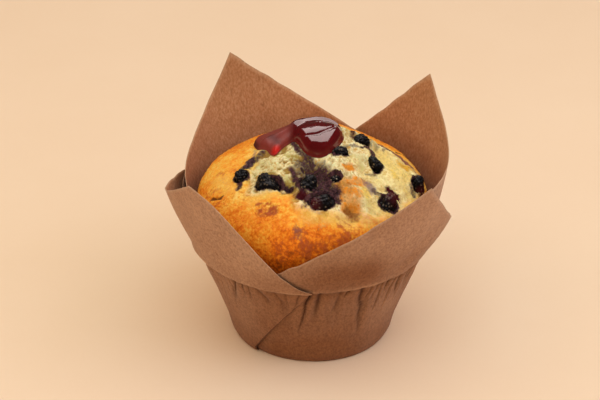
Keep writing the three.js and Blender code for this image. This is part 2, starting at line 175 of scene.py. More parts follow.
def cells(x, y, z):
    """Distances to the nearest and second nearest of the points scattered one in each unit cube."""
    i, j, k = np.floor(x), np.floor(y), np.floor(z)
    first = np.full(x.shape, 9.0)
    second = np.full(x.shape, 9.0)
    for a in (-1, 0, 1):
        for b in (-1, 0, 1):
            for c in (-1, 0, 1):
                ci, cj, ck = i + a, j + b, k + c
                px = ci + lattice(ci, cj, ck)
                py = cj + lattice(ci + 31, cj, ck)
                pz = ck + lattice(ci, cj + 57, ck)
                far = np.sqrt((x - px) ** 2 + (y - py) ** 2 + (z - pz) ** 2)
                second = np.minimum(second, np.maximum(first, far))
                first = np.minimum(first, far)
    return first, second


def near_line(x, y, start, end):
    """Distance to a stretch of line, and how far along it the nearest place lies."""
    (ax, ay), (bx, by) = start, end
    length = math.hypot(bx - ax, by - ay)
    t = ((x - ax) * (bx - ax) + (y - ay) * (by - ay)) / length**2
    t = np.clip(t, 0, 1)
    return np.hypot(x - mix(ax, bx, t), y - mix(ay, by, t)), t


print("noise at the origin:", round(float(noise(0.5, 0.5, 0.5)), 3))


# %% Turning points and faces into a piece
def make_piece(name, points, faces, material, masks=None):
    """A smooth-shaded mesh from points in millimetres. Each mask is one number for every point."""
    mesh = bpy.data.meshes.new(name)
    mesh.from_pydata((np.asarray(points) * MM).tolist(), [], [list(f) for f in faces])
    for mask, values in (masks or {}).items():
        mesh.attributes.new(mask, "FLOAT", "POINT").data.foreach_set("value", values.astype(np.float32))
    mesh.shade_smooth()
    mesh.update()
    mesh.materials.append(material)
    piece = bpy.data.objects.new(name, mesh)
    bpy.context.scene.collection.objects.link(piece)
    print(name, len(mesh.vertices), "points")
    return piece


def grid_faces(columns, rows, start=0):
    """Quads of a grid that closes on itself, with its points stored column by column."""
    i = np.arange(columns)[:, None]
    j = np.arange(rows - 1)[None, :]
    a = i * rows + j
    b = ((i + 1) % columns) * rows + j
    return (start + np.stack([a, b, b + 1, a + 1], -1).reshape(-1, 4)).tolist()


# %% [markdown]
# ## Helpers for finishes
# A finish is a small graph of shader nodes. What more than one finish needs goes in a node group: grain for
# slow and fine unevenness together, and specks for scattered dots such as pores, fibres and crumbs.


# %% Colours and node helpers
def paint(red, green, blue):
    """A colour given as it looks on a screen, 0 to 255, turned into the linear values a shader uses."""
    linear = [((c / 255 + 0.055) / 1.055) ** 2.4 if c > 10 else c / 3295 for c in (red, green, blue)]
    return (*linear, 1)


def feed(tree, socket, value):
    """Links a socket to another node's output, or sets it to a plain number or colour."""
    if isinstance(value, bpy.types.NodeSocket):
        tree.links.new(value, socket)
    else:
        socket.default_value = value


def node(tree, kind, **inputs):
    """A new node with its inputs fed by name. An underscore stands for a space."""
    made = tree.nodes.new("ShaderNode" + kind)
    for name, value in inputs.items():
        feed(tree, made.inputs[name.replace("_", " ")], value)
    return made


def calculate(tree, operation, *values):
    made = node(tree, "Math")
    made.operation = operation
    for socket, value in zip(made.inputs, values):
        feed(tree, socket, value)
    return made.outputs[0]


def blend_colour(tree, amount, first, second, kind="MIX"):
    made = node(tree, "Mix")
    made.data_type = "RGBA"
    made.blend_type = kind
    for number, value in ((0, amount), (6, first), (7, second)):
        feed(tree, made.inputs[number], value)
    return made.outputs[2]


def remap(tree, value, low, high, to_low=0.0, to_high=1.0):
    ends = {"From_Min": low, "From_Max": high, "To_Min": to_low, "To_Max": to_high}
    return node(tree, "MapRange", Value=value, **ends).outputs[0]


def mask(tree, name):
    """The values that a mesh carries under this name."""
    made = node(tree, "Attribute")
    made.attribute_name = name
    return made.outputs["Fac"]


# %% The grain group
def new_group(name, inputs, outputs):
    """An empty node group with named inputs, each with a starting value, and named outputs."""
    group = bpy.data.node_groups.new(name, "ShaderNodeTree")
    for label, value in inputs.items():
        socket = group.interface.new_socket(label, in_out="INPUT", socket_type="NodeSocketFloat")
        socket.default_value = value
    for label in outputs:
        group.interface.new_socket(label, in_out="OUTPUT", socket_type="NodeSocketFloat")
    given = group.nodes.new("NodeGroupInput").outputs
    return group, given, group.nodes.new("NodeGroupOutput").inputs


MM_PER_METRE = 1000.0
grain_group, given, result = new_group(
    "grain",
    {"Slow Size": 6.0, "Fine Size": 0.6, "Fine Share": 0.5, "Stretch": 1.0, "Seed": 0.0},
    ["Grain", "Slow"],
)
tree = grain_group
stretched = node(tree, "VectorMath")
stretched.operation = "MULTIPLY"
flatten = node(tree, "CombineXYZ", X=1.0, Y=1.0, Z=calculate(tree, "DIVIDE", 1.0, given["Stretch"]))
feed(tree, stretched.inputs[0], node(tree, "TexCoord").outputs["Object"])
feed(tree, stretched.inputs[1], flatten.outputs[0])
layers = []
for size in ("Slow Size", "Fine Size"):
    layer = node(tree, "TexNoise", Vector=stretched.outputs[0], Detail=4.0, Roughness=0.6)
    layer.noise_dimensions = "4D"
    feed(tree, layer.inputs["W"], given["Seed"])
    feed(tree, layer.inputs["Scale"], calculate(tree, "DIVIDE", MM_PER_METRE, given[size]))
    layers.append(remap(tree, layer.outputs[0], 0.3, 0.7))
slow, fine = layers
fine_part = calculate(tree, "MULTIPLY", fine, given["Fine Share"])
slow_part = calculate(tree, "MULTIPLY", slow, calculate(tree, "SUBTRACT", 1.0, given["Fine Share"]))
feed(tree, result["Grain"], calculate(tree, "ADD", fine_part, slow_part))
feed(tree, result["Slow"], slow)
print("grain group with", len(tree.nodes), "nodes")

# %% The specks group
specks_group, given, result = new_group("specks", {"Spacing": 2.0, "Size": 0.3, "Keep": 0.5}, ["Specks"])
tree = specks_group
dots = node(tree, "TexVoronoi", Vector=node(tree, "TexCoord").outputs["Object"])
feed(tree, dots.inputs["Scale"], calculate(tree, "DIVIDE", MM_PER_METRE, given["Spacing"]))
inside = calculate(tree, "DIVIDE", dots.outputs["Distance"], given["Size"])
dome = calculate(tree, "MAXIMUM", calculate(tree, "SUBTRACT", 1.0, inside), 0.0)
chance = node(tree, "SeparateColor", Color=dots.outputs["Color"]).outputs[0]
kept = calculate(tree, "LESS_THAN", chance, given["Keep"])
feed(tree, result["Specks"], remap(tree, calculate(tree, "MULTIPLY", dome, kept), 0.0, 0.35))
print("specks group with", len(tree.nodes), "nodes")


# %% Placing a group, and starting a finish
def placed(tree, group, **values):
    """A group placed in a material, with its own values. Returns the group's outputs."""
    made = node(tree, "Group")
    made.node_tree = group
    for name, value in values.items():
        feed(tree, made.inputs[name.replace("_", " ")], value)
    return made.outputs


def new_finish(name, **fixed):
    """A material, its tree of nodes, and the sockets of its shader. Fixed values go on the sockets."""
    material = bpy.data.materials.new(name)
    material.use_nodes = True
    sockets = material.node_tree.nodes["Principled BSDF"].inputs
    for label, value in fixed.items():
        sockets[label.replace("_", " ")].default_value = value
    return material, material.node_tree, sockets


def add_bump(tree, sockets, height, depth):
    """Fine relief: height runs from 0 to 1, and depth is in millimetres."""
    bump = node(tree, "Bump", Height=height, Strength=1.0, Distance=depth * MM)
    tree.links.new(bump.outputs[0], sockets["Normal"])


# %% [markdown]
# ## The table
# The muffin stands on a sheet of plain warm paper. It carries a trace of grain, so that it isn't one dead
# colour. Towards the back it darkens a very little, as a sheet does where it leaves the light.

# %% Table
table_finish, tree, sockets = new_finish("table_paper", Roughness=0.85, Specular_IOR_Level=0.2)
grain = placed(tree, grain_group, Slow_Size=60.0, Fine_Size=1.5, Fine_Share=0.3)
colour = blend_colour(tree, grain["Grain"], paint(240, 202, 166), paint(243, 206, 171))
here = node(tree, "SeparateXYZ", Vector=node(tree, "TexCoord").outputs["Object"])
far_off = remap(tree, here.outputs["Y"], 50 * MM, 280 * MM)
colour = blend_colour(tree, far_off, colour, (0.945, 0.945, 0.96, 1), "MULTIPLY")
tree.links.new(colour, sockets["Base Color"])
TABLE_HALF = 4000
corners = [(-1, -1, 0), (1, -1, 0), (1, 1, 0), (-1, 1, 0)]
table = make_piece("table", np.array(corners) * TABLE_HALF, [(0, 1, 2, 3)], table_finish)

# %% [markdown]
# ## The paper case: its folds
# The sheet is laid out as columns that run from the flat base up to the top edge. Four runs of columns are
# the petals. Between two petals the sheet folds back on itself and forward again, which makes a pleat of
# three layers. A cloth simulation could fold it too, but columns keep every fold exactly where it belongs.

# %% Sizes of the sheet, in millimetres and degrees round the muffin
PAPER_THICKNESS = 0.2
LAYER_PITCH = 0.55
BASE_RADIUS = 24.9
RIM_RADIUS = 37.05
RIM_HEIGHT = 33.7
CUP_HOLLOW = 0.75
WALL_START = 1.6
PETAL_BULGE = 0.7
PETAL_RADIUS = 42


def cup_radius(height):
    """Radius of the cup's innermost layer. The wall draws in a little between its base and its rim."""
    cone = mix(BASE_RADIUS, RIM_RADIUS, height / RIM_HEIGHT)
    return cone - CUP_HOLLOW * smooth(0, 9, height) * (1 - smooth(29, RIM_HEIGHT, height))


def half_edge(at, out, out_skew, up, up_skew):
    """Half of a petal's top edge: where it ends, and how it bows outwards and upwards on the way."""
    return {"at": at, "out": out, "out_skew": out_skew, "up": up, "up_skew": up_skew}


FRONT_STEP = 0.42
BACK_STEP = 1.2
# A petal's corner is given as azimuth, radius and height. Rim and base are the azimuths where its start,
# middle and end cross them. Layer counts how far out its two sides lie, and pleat bows the fold after it.
PETALS = [
    {
        "corner": (225, 52.9, 71.8), "layer": (2, 2), "pleat": 0, "step": FRONT_STEP,
        "start": half_edge((156, 43.4, 49.6), -0.8, 0.3, -5.4, 0.05),
        "end": half_edge((269.3, 38.5, 34.4), -1.3, 1, -2.9, -1.3),
        "rim": (160, 222, 269), "base": (148, 190, 224.5),
    },
    {
        "corner": (310, 54.7, 73.3), "layer": (0, 1), "pleat": 1.2, "step": FRONT_STEP,
        "start": half_edge((243, 38.6, 36.6), -0.7, 0, -1.2, -0.22),
        "end": half_edge((352, 44.8, 43.6), -1.55, -0.43, -4.2, 0.28),
        "rim": (247, 306, 350), "base": (203, 292, 365),
    },
    {
        "corner": (396.9, 48.2, 77.3), "layer": (-1, 2), "pleat": 0.6, "step": BACK_STEP,
        "start": half_edge((314, 38.6, 52.5), -0.7, 0, -5.5, 1.85),
        "end": half_edge((442, 41.8, 45.1), -1.2, -0.1, -2.6, -0.43),
        "rim": (320, 394, 440), "base": (335, 402, 455),
    },
    {
        "corner": (482.9, 50.2, 78.9), "layer": (0, 0), "pleat": 1, "step": BACK_STEP,
        "start": half_edge((412, 38.6, 47.2), -1.1, 0.26, -4.4, 0.31),
        "end": half_edge((554, 38.5, 47.1), -0.8, 0, -7.9, 1.06),
        "rim": (415, 483, 548), "base": (428, 480, 535),
    },
]
HIDDEN_STEP = 3.0
TURN_STEPS = 6


# %% Columns of the petals and of the pleats between them
def edge_point(petal, half, u):
    """A place on a petal's top edge, from its corner at 0 to the end of that half at 1."""
    azimuth, radius, height = petal["corner"]
    bow = 4 * u * (1 - u)
    lean = 1 - 2 * u
    return (
        mix(azimuth, half["at"][0], u),
        mix(radius, half["at"][1], u) + half["out"] * bow * (1 + half["out_skew"] * lean),
        mix(height, half["at"][2], u) + half["up"] * bow * (1 + half["up_skew"] * lean),
    )


def petal_columns(petal):
    """Columns as azimuth at the base and at the rim, the place of the top, layer, and turn sideways."""
    columns = []
    rim, base, layer = petal["rim"], petal["base"], petal["layer"]
    for half, left, right, first in ((petal["start"], 0, 1, 0), (petal["end"], 1, 2, 1)):
        steps = round((rim[right] - rim[left]) / petal["step"])
        for i in range(first, steps + 1):
            t = i / steps
            at_rim = mix(rim[left], rim[right], t)
            u = 1 - t if left == 0 else t
            along = float(smooth(0.32, 0.7, (at_rim - rim[0]) / (rim[2] - rim[0])))
            top = edge_point(petal, half, u)
            columns.append((mix(base[left], base[right], t), at_rim, *top, mix(*layer, along), 0))
    return columns


def pleat_columns(first, following, turn_back):
    """The fold between two petals: round a bend, back as the hidden layer, and round a second bend."""
    columns = []
    start = first["end"]["at"]
    end = (following["start"]["at"][0] + turn_back, *following["start"]["at"][1:])
    outer, inner = first["layer"][1], following["layer"][0]
    middle = (outer + inner) / 2
    base_end, rim_end = following["base"][0] + turn_back, following["rim"][0] + turn_back

    def fold(at, base, rim, leave, arrive, side):
        for i in range(1, TURN_STEPS):
            angle = math.pi * i / TURN_STEPS
            layer = mix(leave, arrive, (1 - math.cos(angle)) / 2)
            turn = side * math.sin(angle) * LAYER_PITCH / 2
            columns.append((base, rim, at[0], at[1] + (layer - leave) * LAYER_PITCH, at[2], layer, turn))

    fold(start, first["base"][2], first["rim"][2], outer, middle, 1)
    steps = round((first["rim"][2] - rim_end) / HIDDEN_STEP)
    for i in range(steps + 1):
        t = i / steps
        radius = mix(start[1] - LAYER_PITCH, end[1] + LAYER_PITCH, t)
        radius += first["pleat"] * math.sin(math.pi * t)
        top = (mix(start[0], end[0], t), radius, mix(start[2], end[2], t))
        at_base, at_rim = mix(first["base"][2], base_end, t), mix(first["rim"][2], rim_end, t)
        columns.append((at_base, at_rim, *top, middle, 0))
    fold((end[0], end[1] + LAYER_PITCH, end[2]), base_end, rim_end, middle, inner, -1)
    return columns


columns = []
on_petal = []
for i, petal in enumerate(PETALS):
    open_part = petal_columns(petal)
    folded_part = pleat_columns(petal, PETALS[(i + 1) % 4], 360 if i == 3 else 0)
    columns += open_part + folded_part
    on_petal += [1] * len(open_part) + [0] * len(folded_part)
sheet = np.array(columns, float)
print(len(sheet), "columns round the sheet")

# %% [markdown]
# ## The paper case: its creases
# The round cup is smaller than the flat square it came from, so just below the rim the paper puckers into
# short upright creases. Each one is a sharp valley with a soft ridge beside it, and it fades downwards.
# All layers follow the same creases, so they never cut through each other.

# %% Creases below the rim, as azimuth at the top, azimuth at the foot, height of the foot, depth and width
CREASES = [
    (216.5, 213.5, 15, 0.3, 0.7), (222, 219, 20, 0.25, 0.9), (230, 222.6, 21, 0.75, 1.2),
    (234.6, 232, 26, 0.6, 0.6), (240.5, 249, 26, 0.55, 2.0), (251, 256, 25, 0.35, 1.1),
    (268.8, 260.8, 13, 0.95, 1.0), (273.9, 270.5, 20, 0.7, 1.9), (284, 279.5, 19, 0.35, 2.4),
    (288, 285, 30, 0.55, 0.9), (294.8, 300.3, 9, 0.75, 2.0), (303, 302, 22, 0.3, 0.9),
    (311.4, 309.5, 28, 0.75, 0.8), (317.6, 321.6, 22, 0.8, 0.6), (326, 328.5, 24, 0.5, 0.8),
    (332, 330, 20, 0.4, 1.2), (208, 205, 20, 0.45, 0.8), (212.5, 209.5, 16, 0.4, 0.6),
    (225.5, 221, 16, 0.45, 0.6), (237.5, 235, 24, 0.4, 0.5), (257, 257, 22, 0.3, 0.6),
    (263, 259, 24, 0.4, 0.5), (299, 299, 15, 0.35, 0.5), (306.5, 305, 17, 0.45, 0.5),
    (314.5, 313, 17, 0.45, 0.5), (321.5, 322, 20, 0.4, 0.5), (329, 330, 24, 0.5, 0.5),
    (336, 337, 24, 0.5, 0.5),
]
rng = np.random.default_rng(12)
azimuth = 339.0
while azimuth < 569:
    lean = rng.uniform(-5, 5)
    foot = RIM_HEIGHT - rng.uniform(4, 20)
    CREASES.append((azimuth, azimuth + lean, foot, rng.uniform(0.25, 0.8), rng.uniform(0.6, 2.0)))
    azimuth += rng.uniform(5, 13)
DEEPEST_CREASE = 0.85
print(len(CREASES), "creases")


def apart(azimuth, other):
    """The turn in degrees from one azimuth to another, the short way round."""
    return (azimuth - other + 180) % 360 - 180


def crease_relief(azimuth, height):
    """How far the creases move the paper outwards, and how much shade is painted at each place."""
    moved = np.zeros_like(height)
    shade = np.zeros_like(height)
    below = RIM_HEIGHT - height
    for top, foot, low, depth, width in CREASES:
        reach = RIM_HEIGHT - low
        line = top + (foot - top) * below / reach
        across = np.radians(apart(azimuth, line)) * RIM_RADIUS + 0.5 * noise(height / 4, top, 3)
        fade = smooth(-0.3, 1.2, below) * (1 - smooth(0.35, 1.1, below / reach))
        valley = np.exp(-np.abs(across) / (0.4 * width))
        ridge = bell(across - 1.6 * width, 1.2 * width)
        moved += 1.6 * depth * fade * (0.45 * ridge - valley)
        # Painted shade along the valley of each crease.
        shade += 1.2 * depth * fade * bell(across, 0.34 * width + 0.1)
    puckered = smooth(0, 2, below) * (1 - smooth(8, 26, below))
    lines = noise(azimuth / 1.7 + height / 15, height / 12, 7) * (0.6 + 0.8 * noise(azimuth / 14, 0, 2))
    # Painted shade in the fine puckers.
    shade += 0.3 * np.maximum(-lines, 0) * puckered
    share = np.clip((height - WALL_START) / (RIM_HEIGHT - WALL_START), 0, 1)
    share = share * (1 + RIM_RADIUS / cup_radius(height)) / 2
    # Painted shadow just beside each fold line, where an outer layer steps over the one below.
    for petal in PETALS:
        fold_line = mix(petal["base"][2], petal["rim"][2], share)
        beside = np.radians(apart(azimuth, fold_line)) * RIM_RADIUS
        shade += smooth(0, 0.15, beside) * np.exp(-np.maximum(beside, 0) / 0.5) * smooth(0, 1, below)
    # Painted shade: a thin dark line just under the rim.
    shade += 0.4 * bell(below - 0.7, 0.55) * (0.7 + 0.5 * noise(azimuth / 9, 0, 8))
    moved += 0.2 * lines * puckered
    return np.where(moved < 0, DEEPEST_CREASE * np.tanh(moved / DEEPEST_CREASE), moved), shade


# %% [markdown]
# Above the rim the petals are nearly flat, with a few long soft waves, and slanting folds where fingers
# pressed them. The crease along the rim itself is a thin raised line with a shallow step under it.


# %% Waves of the petals and the crease at the rim
PETAL_FOLDS = [
    # azimuth and height of both ends, depth, width
    (311, 36, 324, 54, -0.7, 3.0), (318, 36, 330, 52, 0.5, 2.2),
    (205, 40, 196, 62, -0.35, 2.5), (246, 37, 236, 48, 0.3, 3.0),
    (455, 40, 478, 70, -0.5, 3.5), (500, 45, 492, 74, 0.4, 4.0),
    (380, 40, 392, 70, -0.4, 3.5), (410, 45, 402, 68, 0.35, 3.0),
]


def petal_relief(azimuth, height, share):
    """Waves and folds of a petal. Share is 0 at the rim and 1 at the petal's edge, which stays straight."""
    above = height - RIM_HEIGHT
    inner = 1 - 0.75 * smooth(0.45, 0.95, share)
    moved = 0.55 * cloud(azimuth / 17, height / 34, 4.2, 2) * smooth(2, 14, above) * inner
    for az_low, low, az_high, high, depth, width in PETAL_FOLDS:
        t = np.clip((height - low) / (high - low), 0, 1)
        across = np.radians(apart(azimuth, mix(az_low, az_high, t))) * PETAL_RADIUS
        beyond = np.abs(height - mix(low, high, t))
        moved = moved + depth * bell(across, width) * bell(beyond, 4) * np.sin(math.pi * (0.15 + 0.7 * t))
    step = 0.5 * bell(above - 0.4, 0.7) - 0.5 * bell(above + 1.2, 1.3)
    uneven = 0.75 + 0.35 * noise(azimuth / 9, 0, 8)
    left_rim = 0.6 * bell(above + 0.7, 4) - 0.45 * bell(above + 4.6, 2.2)
    return moved + step * uneven + left_rim * bell(apart(azimuth, 197), 24)


# %% The sheet's middle surface, one row of points for every column
base, rim, top_az, top_radius, top_height, layer, turn = (sheet[:, [c]] for c in range(7))
shift = layer * LAYER_PITCH
half_paper = PAPER_THICKNESS / 2
places = []
ROUNDED_FOOT = [(1.2, 0.0), (0.75, 0.06), (0.35, 0.28), (0.1, 0.72)]
for inwards, height in ROUNDED_FOOT:
    places.append((base, BASE_RADIUS + shift - inwards, np.full_like(base, half_paper + height)))
for t in [*np.linspace(0.03, 0.8, 20), *np.linspace(0.825, 1, 12)]:
    height = mix(WALL_START, RIM_HEIGHT, t)
    radius = cup_radius(height)
    turned = t * (1 + RIM_RADIUS / radius) / 2
    places.append((mix(base, rim, turned), radius + shift, np.full_like(base, height)))
petal_rows = [0.012, 0.025, 0.04, 0.06, *np.linspace(0.09, 1, 20)]
for t in petal_rows:
    rise = top_height - RIM_HEIGHT
    bulge = PETAL_BULGE * 4 * t * (1 - t) * smooth(0, 12, rise)
    radius = mix(RIM_RADIUS + shift, top_radius, t) + bulge
    ragged = 0.25 * noise(top_az / 4, 0, 5) * t * smooth(0, 12, rise)
    places.append((mix(rim, top_az, t), radius, mix(RIM_HEIGHT, top_height, t) + ragged))
azimuth, radius, height = (np.hstack([p[c] for p in places]) for c in range(3))
azimuth = azimuth + np.degrees(turn / radius)
creased, crease_shade = crease_relief(azimuth, height)
share = np.array([0.0] * (len(places) - len(petal_rows)) + petal_rows)
radius = radius + creased + petal_relief(azimuth, height, share) * smooth(1, 6, height)
angle = np.radians(azimuth)
middle = np.stack([radius * np.cos(angle), radius * np.sin(angle), height], -1)
print("sheet grid", middle.shape)

# %% [markdown]
# The sheet gets its thickness by moving its middle surface half a thickness out and in, along the direction
# it faces. The two skins are then joined along the top edge, and each is closed by a flat round base.

# %% The two skins of the sheet
along = np.roll(middle, -1, 0) - np.roll(middle, 1, 0)
upward = np.empty_like(middle)
upward[:, 1:-1] = middle[:, 2:] - middle[:, :-2]
upward[:, 0] = middle[:, 1] - middle[:, 0]
upward[:, -1] = middle[:, -1] - middle[:, -2]
facing = np.cross(along, upward)
facing /= np.linalg.norm(facing, axis=-1, keepdims=True)
facing[:, 0] = (0, 0, -1)
skins = [middle + facing * half_paper, middle - facing * half_paper]
n_columns, n_rows = middle.shape[:2]
n_skin = n_columns * n_rows
paper_points = np.concatenate([s.reshape(-1, 3) for s in skins])
paper_faces = grid_faces(n_columns, n_rows)
paper_faces += [f[::-1] for f in grid_faces(n_columns, n_rows, n_skin)]
for i in range(n_columns):
    a, b = i * n_rows + n_rows - 1, ((i + 1) % n_columns) * n_rows + n_rows - 1
    paper_faces.append((a, b, b + n_skin, a + n_skin))
print("two skins of", n_skin, "points")

# %% The flat round base of each skin
outline = [Vector((x, y, 0)) for x, y in middle[:, 0, :2]]
for a, b, c in tessellate_polygon([outline]):
    flat = (outline[b] - outline[a]).cross(outline[c] - outline[a]).z
    a, b, c = (a, c, b) if flat > 0 else (a, b, c)
    paper_faces.append((a * n_rows, b * n_rows, c * n_rows))
    paper_faces.append((n_skin + c * n_rows, n_skin + b * n_rows, n_skin + a * n_rows))
print("paper case with", len(paper_faces), "faces")

# %% [markdown]
# Baking paper is matt, with short fibres that run every way. Butter soaks in and darkens it, most of all
# on the cup and round the front fold; the same mask paints shade under the rim and low inside the back
# right petal. Shade is painted into the creases, and a highlight along the rim and the top edges. Each of
# these is a mask, one number at every point. Inside, the case is painted a warmer brown, standing in for
# warm light thrown back by the muffin.

# %% Paper finish
GREASE_AND_SHADE_TINT = (0.5, 0.335, 0.21, 1)
PAINTED_CREASE_SHADE = (0.24, 0.18, 0.13, 1)
paper_finish, tree, sockets = new_finish("baking_paper", Specular_IOR_Level=0.05, Sheen_Weight=0.05)
sockets["Sheen Roughness"].default_value = 0.6
grain = placed(tree, grain_group, Slow_Size=16.0, Fine_Size=0.7, Fine_Share=0.45, Stretch=1.6)
fibres = placed(tree, grain_group, Slow_Size=1.2, Fine_Size=0.6, Fine_Share=0.6, Stretch=1.7, Seed=3.0)
flecks = placed(tree, specks_group, Spacing=1.7, Size=0.22, Keep=0.3)
colour = blend_colour(tree, grain["Grain"], paint(157, 115, 88), paint(187, 145, 116))
# The inner skin is painted a warmer brown, standing in for warm light the muffin throws back onto it.
colour = blend_colour(tree, mask(tree, "inner_face"), colour, paint(182, 117, 64))
colour = blend_colour(tree, remap(tree, fibres["Grain"], 0.45, 0.85, 0, 0.34), colour, paint(214, 164, 124))
colour = blend_colour(tree, remap(tree, fibres["Grain"], 0.5, 0.1, 0, 0.36), colour, paint(112, 70, 44))
colour = blend_colour(tree, remap(tree, flecks["Specks"], 0, 1, 0, 0.18), colour, paint(110, 66, 38))
# Butter soak, with painted shade under the rim and low inside the back right petal.
colour = blend_colour(tree, mask(tree, "grease_and_shade"), colour, GREASE_AND_SHADE_TINT, "MULTIPLY")
# Painted highlight: a paler line along the rim and the petals' top edges, where light catches them.
colour = blend_colour(tree, mask(tree, "edge_highlight"), colour, paint(216, 166, 126))
# Painted shade: darker in the creases, under the rim, beside the fold lines and on the bends.
colour = blend_colour(tree, mask(tree, "crease"), colour, PAINTED_CREASE_SHADE, "MULTIPLY")
tree.links.new(colour, sockets["Base Color"])
tree.links.new(remap(tree, grain["Grain"], 0, 1, 0.82, 0.62), sockets["Roughness"])
add_bump(tree, sockets, fibres["Grain"], 0.04)

# %% Where butter soaked in, with painted shade under the rim and inside the back right petal
# The second term is painted shade in a narrow band just under the rim.
grease_and_shade = 0.35 * smooth(52, 34, height) + 0.35 * smooth(34.2, 32.6, height) + 0.4 * smooth(20, 0, height)
grease_and_shade += 0.18 * cloud(azimuth / 14, height / 9, 2, 2)
grease_and_shade += (0.06 - 0.24 * smooth(290, 314, azimuth)) * smooth(33, 31, height)
grease_and_shade -= 0.3 * smooth(248, 225, azimuth)
grease_and_shade += 0.22 * smooth(262, 275, azimuth) * smooth(314, 292, azimuth) * smooth(33, 36, height)
soaked = bell(apart(azimuth, 288), 30) * bell(height - 41, 9)
grease_and_shade = np.clip(grease_and_shade + (0.55 + 0.25 * cloud(azimuth / 9, height / 8, 5)) * soaked, 0, 1)
back_left = 0.3 * smooth(63, 48, height) + 0.26 * smooth(62, 72, height)
# Painted shade low inside the back right petal.
back_right = 0.5 * smooth(58, 49, height)
deep_inside = mix(back_left, back_right, smooth(430, 410, azimuth))
grease_and_shade_inside = np.clip(grease_and_shade + deep_inside, 0, 1)
print("greased on average", round(float(grease_and_shade.mean()), 2))

# %% Painted shade in the folds, and a painted highlight on the edges
# Painted shade on the bends of the pleats, kept with the crease shade.
at_a_turn = turn > 0.5 * LAYER_PITCH / 2
crease_shade = np.maximum(crease_shade, 0.45 * at_a_turn)
# Painted highlight along the rim crease and along the petals' top edges.
edge_highlight = 0.35 * bell(height - RIM_HEIGHT - 0.3, 0.45) * smooth(-0.6, 0.6, noise(azimuth / 7, 0, 3))
edge_highlight = np.maximum(edge_highlight, 0.3 * (share > 0.97)) * np.array(on_petal)[:, None]
masks = {
    "grease_and_shade": np.concatenate([grease_and_shade.ravel(), grease_and_shade_inside.ravel()]),
    "crease": np.tile(np.clip(crease_shade, 0, 1).ravel(), 2),
    "edge_highlight": np.tile(edge_highlight.ravel(), 2),
    "inner_face": np.repeat([0.0, 0.7], n_skin),
}
print("masks:", ", ".join(masks))

# %% Paper case
paper = make_piece("paper_wrap", paper_points, paper_faces, paper_finish, masks)
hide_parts("paper_case")
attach(paper, "root")

# %% [markdown]
# ## The muffin: its form
# Batter rises, sets at the edge first, and then the soft middle pushes through and tears the crust. So the
# crown is a smooth dome of crust with a sunken oval of open crumb, a lip round it, and mounds and hollows
# where berries held it back. The dome is a squared ellipse turned round, plus a bell for the peak.

# %% Sizes of the crown
CROWN_CENTRE = 45
CROWN_RADIUS = 37.3
CROWN_RISE = 17.4
CROWN_POWER = 2.3
PEAK = {"x": 2.9, "y": 5.5, "rise": 7.8, "spread": 10.5}
SPLIT = {"x": 7, "y": -10, "rx": 28, "ry": 18}
JAM_MIDDLE = (-1, 3.5)
SWELLS = {
    # x, y, size across and rise
    "mound_left": (-12.5, -9, 5, 2),
    "mound_front": (8, -10.5, 5, 2),
    "bump_front": (12, -21.5, 4.5, 2.1),
    "mound_right": (27, -8, 5.5, 1.4),
    "mound_back": (24, 3, 4.5, 0.5),
    "crust_tongue": (-8, -24, 6, 1.2),
    "crust_left": (-28, -6, 8, 0.5),
    "stained_hollow": (-1, -13, 4, -1.8),
    "crease_left": (-8, -18.6, 3, -1.6),
    "pit_front": (11.9, -28, 2.8, -2),
    "pit_right": (29.3, 0.9, 2.8, -1.6),
    "saddle": (16, -9, 3, -1.8),
}


def around(azimuth, radius, height):
    """Places given by their turn round the upright axis, their distance from it and their height."""
    a = np.radians(azimuth)
    return np.stack(np.broadcast_arrays(radius * np.cos(a), radius * np.sin(a), height), -1)


# %% Relief of the crown, as on the solid
def split_reach(x, y):
    """How far a place lies out from the middle of the split: 1 on its edge."""
    ragged = 0.09 * noise(x / 5, y / 5, 3)
    return np.hypot((x - SPLIT["x"]) / SPLIT["rx"], (y - SPLIT["y"]) / SPLIT["ry"]) + ragged


def relief(x, y):
    """How far the crown stands out from its plain dome."""
    reach = split_reach(x, y)
    crumb = 1 - smooth(0.9, 1.04, reach)
    height = 0.8 * bell(reach - 1.03, 0.07) - 0.7 * crumb
    bare = smooth(9, 16, np.hypot(x - JAM_MIDDLE[0], y - JAM_MIDDLE[1]))
    height = height + bare * crumb * 0.9 * noise(x / 4.6, y / 4.6, 1)
    height = height + 0.35 * noise(x / 9, y / 9, 7)
    for sx, sy, size, rise in SWELLS.values():
        height = height + rise * bell(np.hypot(x - sx, y - sy), size)
    return height


def peak(x, y):
    return PEAK["rise"] * np.exp(-((x - PEAK["x"]) ** 2 + (y - PEAK["y"]) ** 2) / (2 * PEAK["spread"] ** 2))


def crown_height(x, y):
    r = np.hypot(x, y) / CROWN_RADIUS
    dome = CROWN_RISE * (1 - r**CROWN_POWER) ** (1 / CROWN_POWER)
    return CROWN_CENTRE + dome + peak(x, y) + relief(x, y)


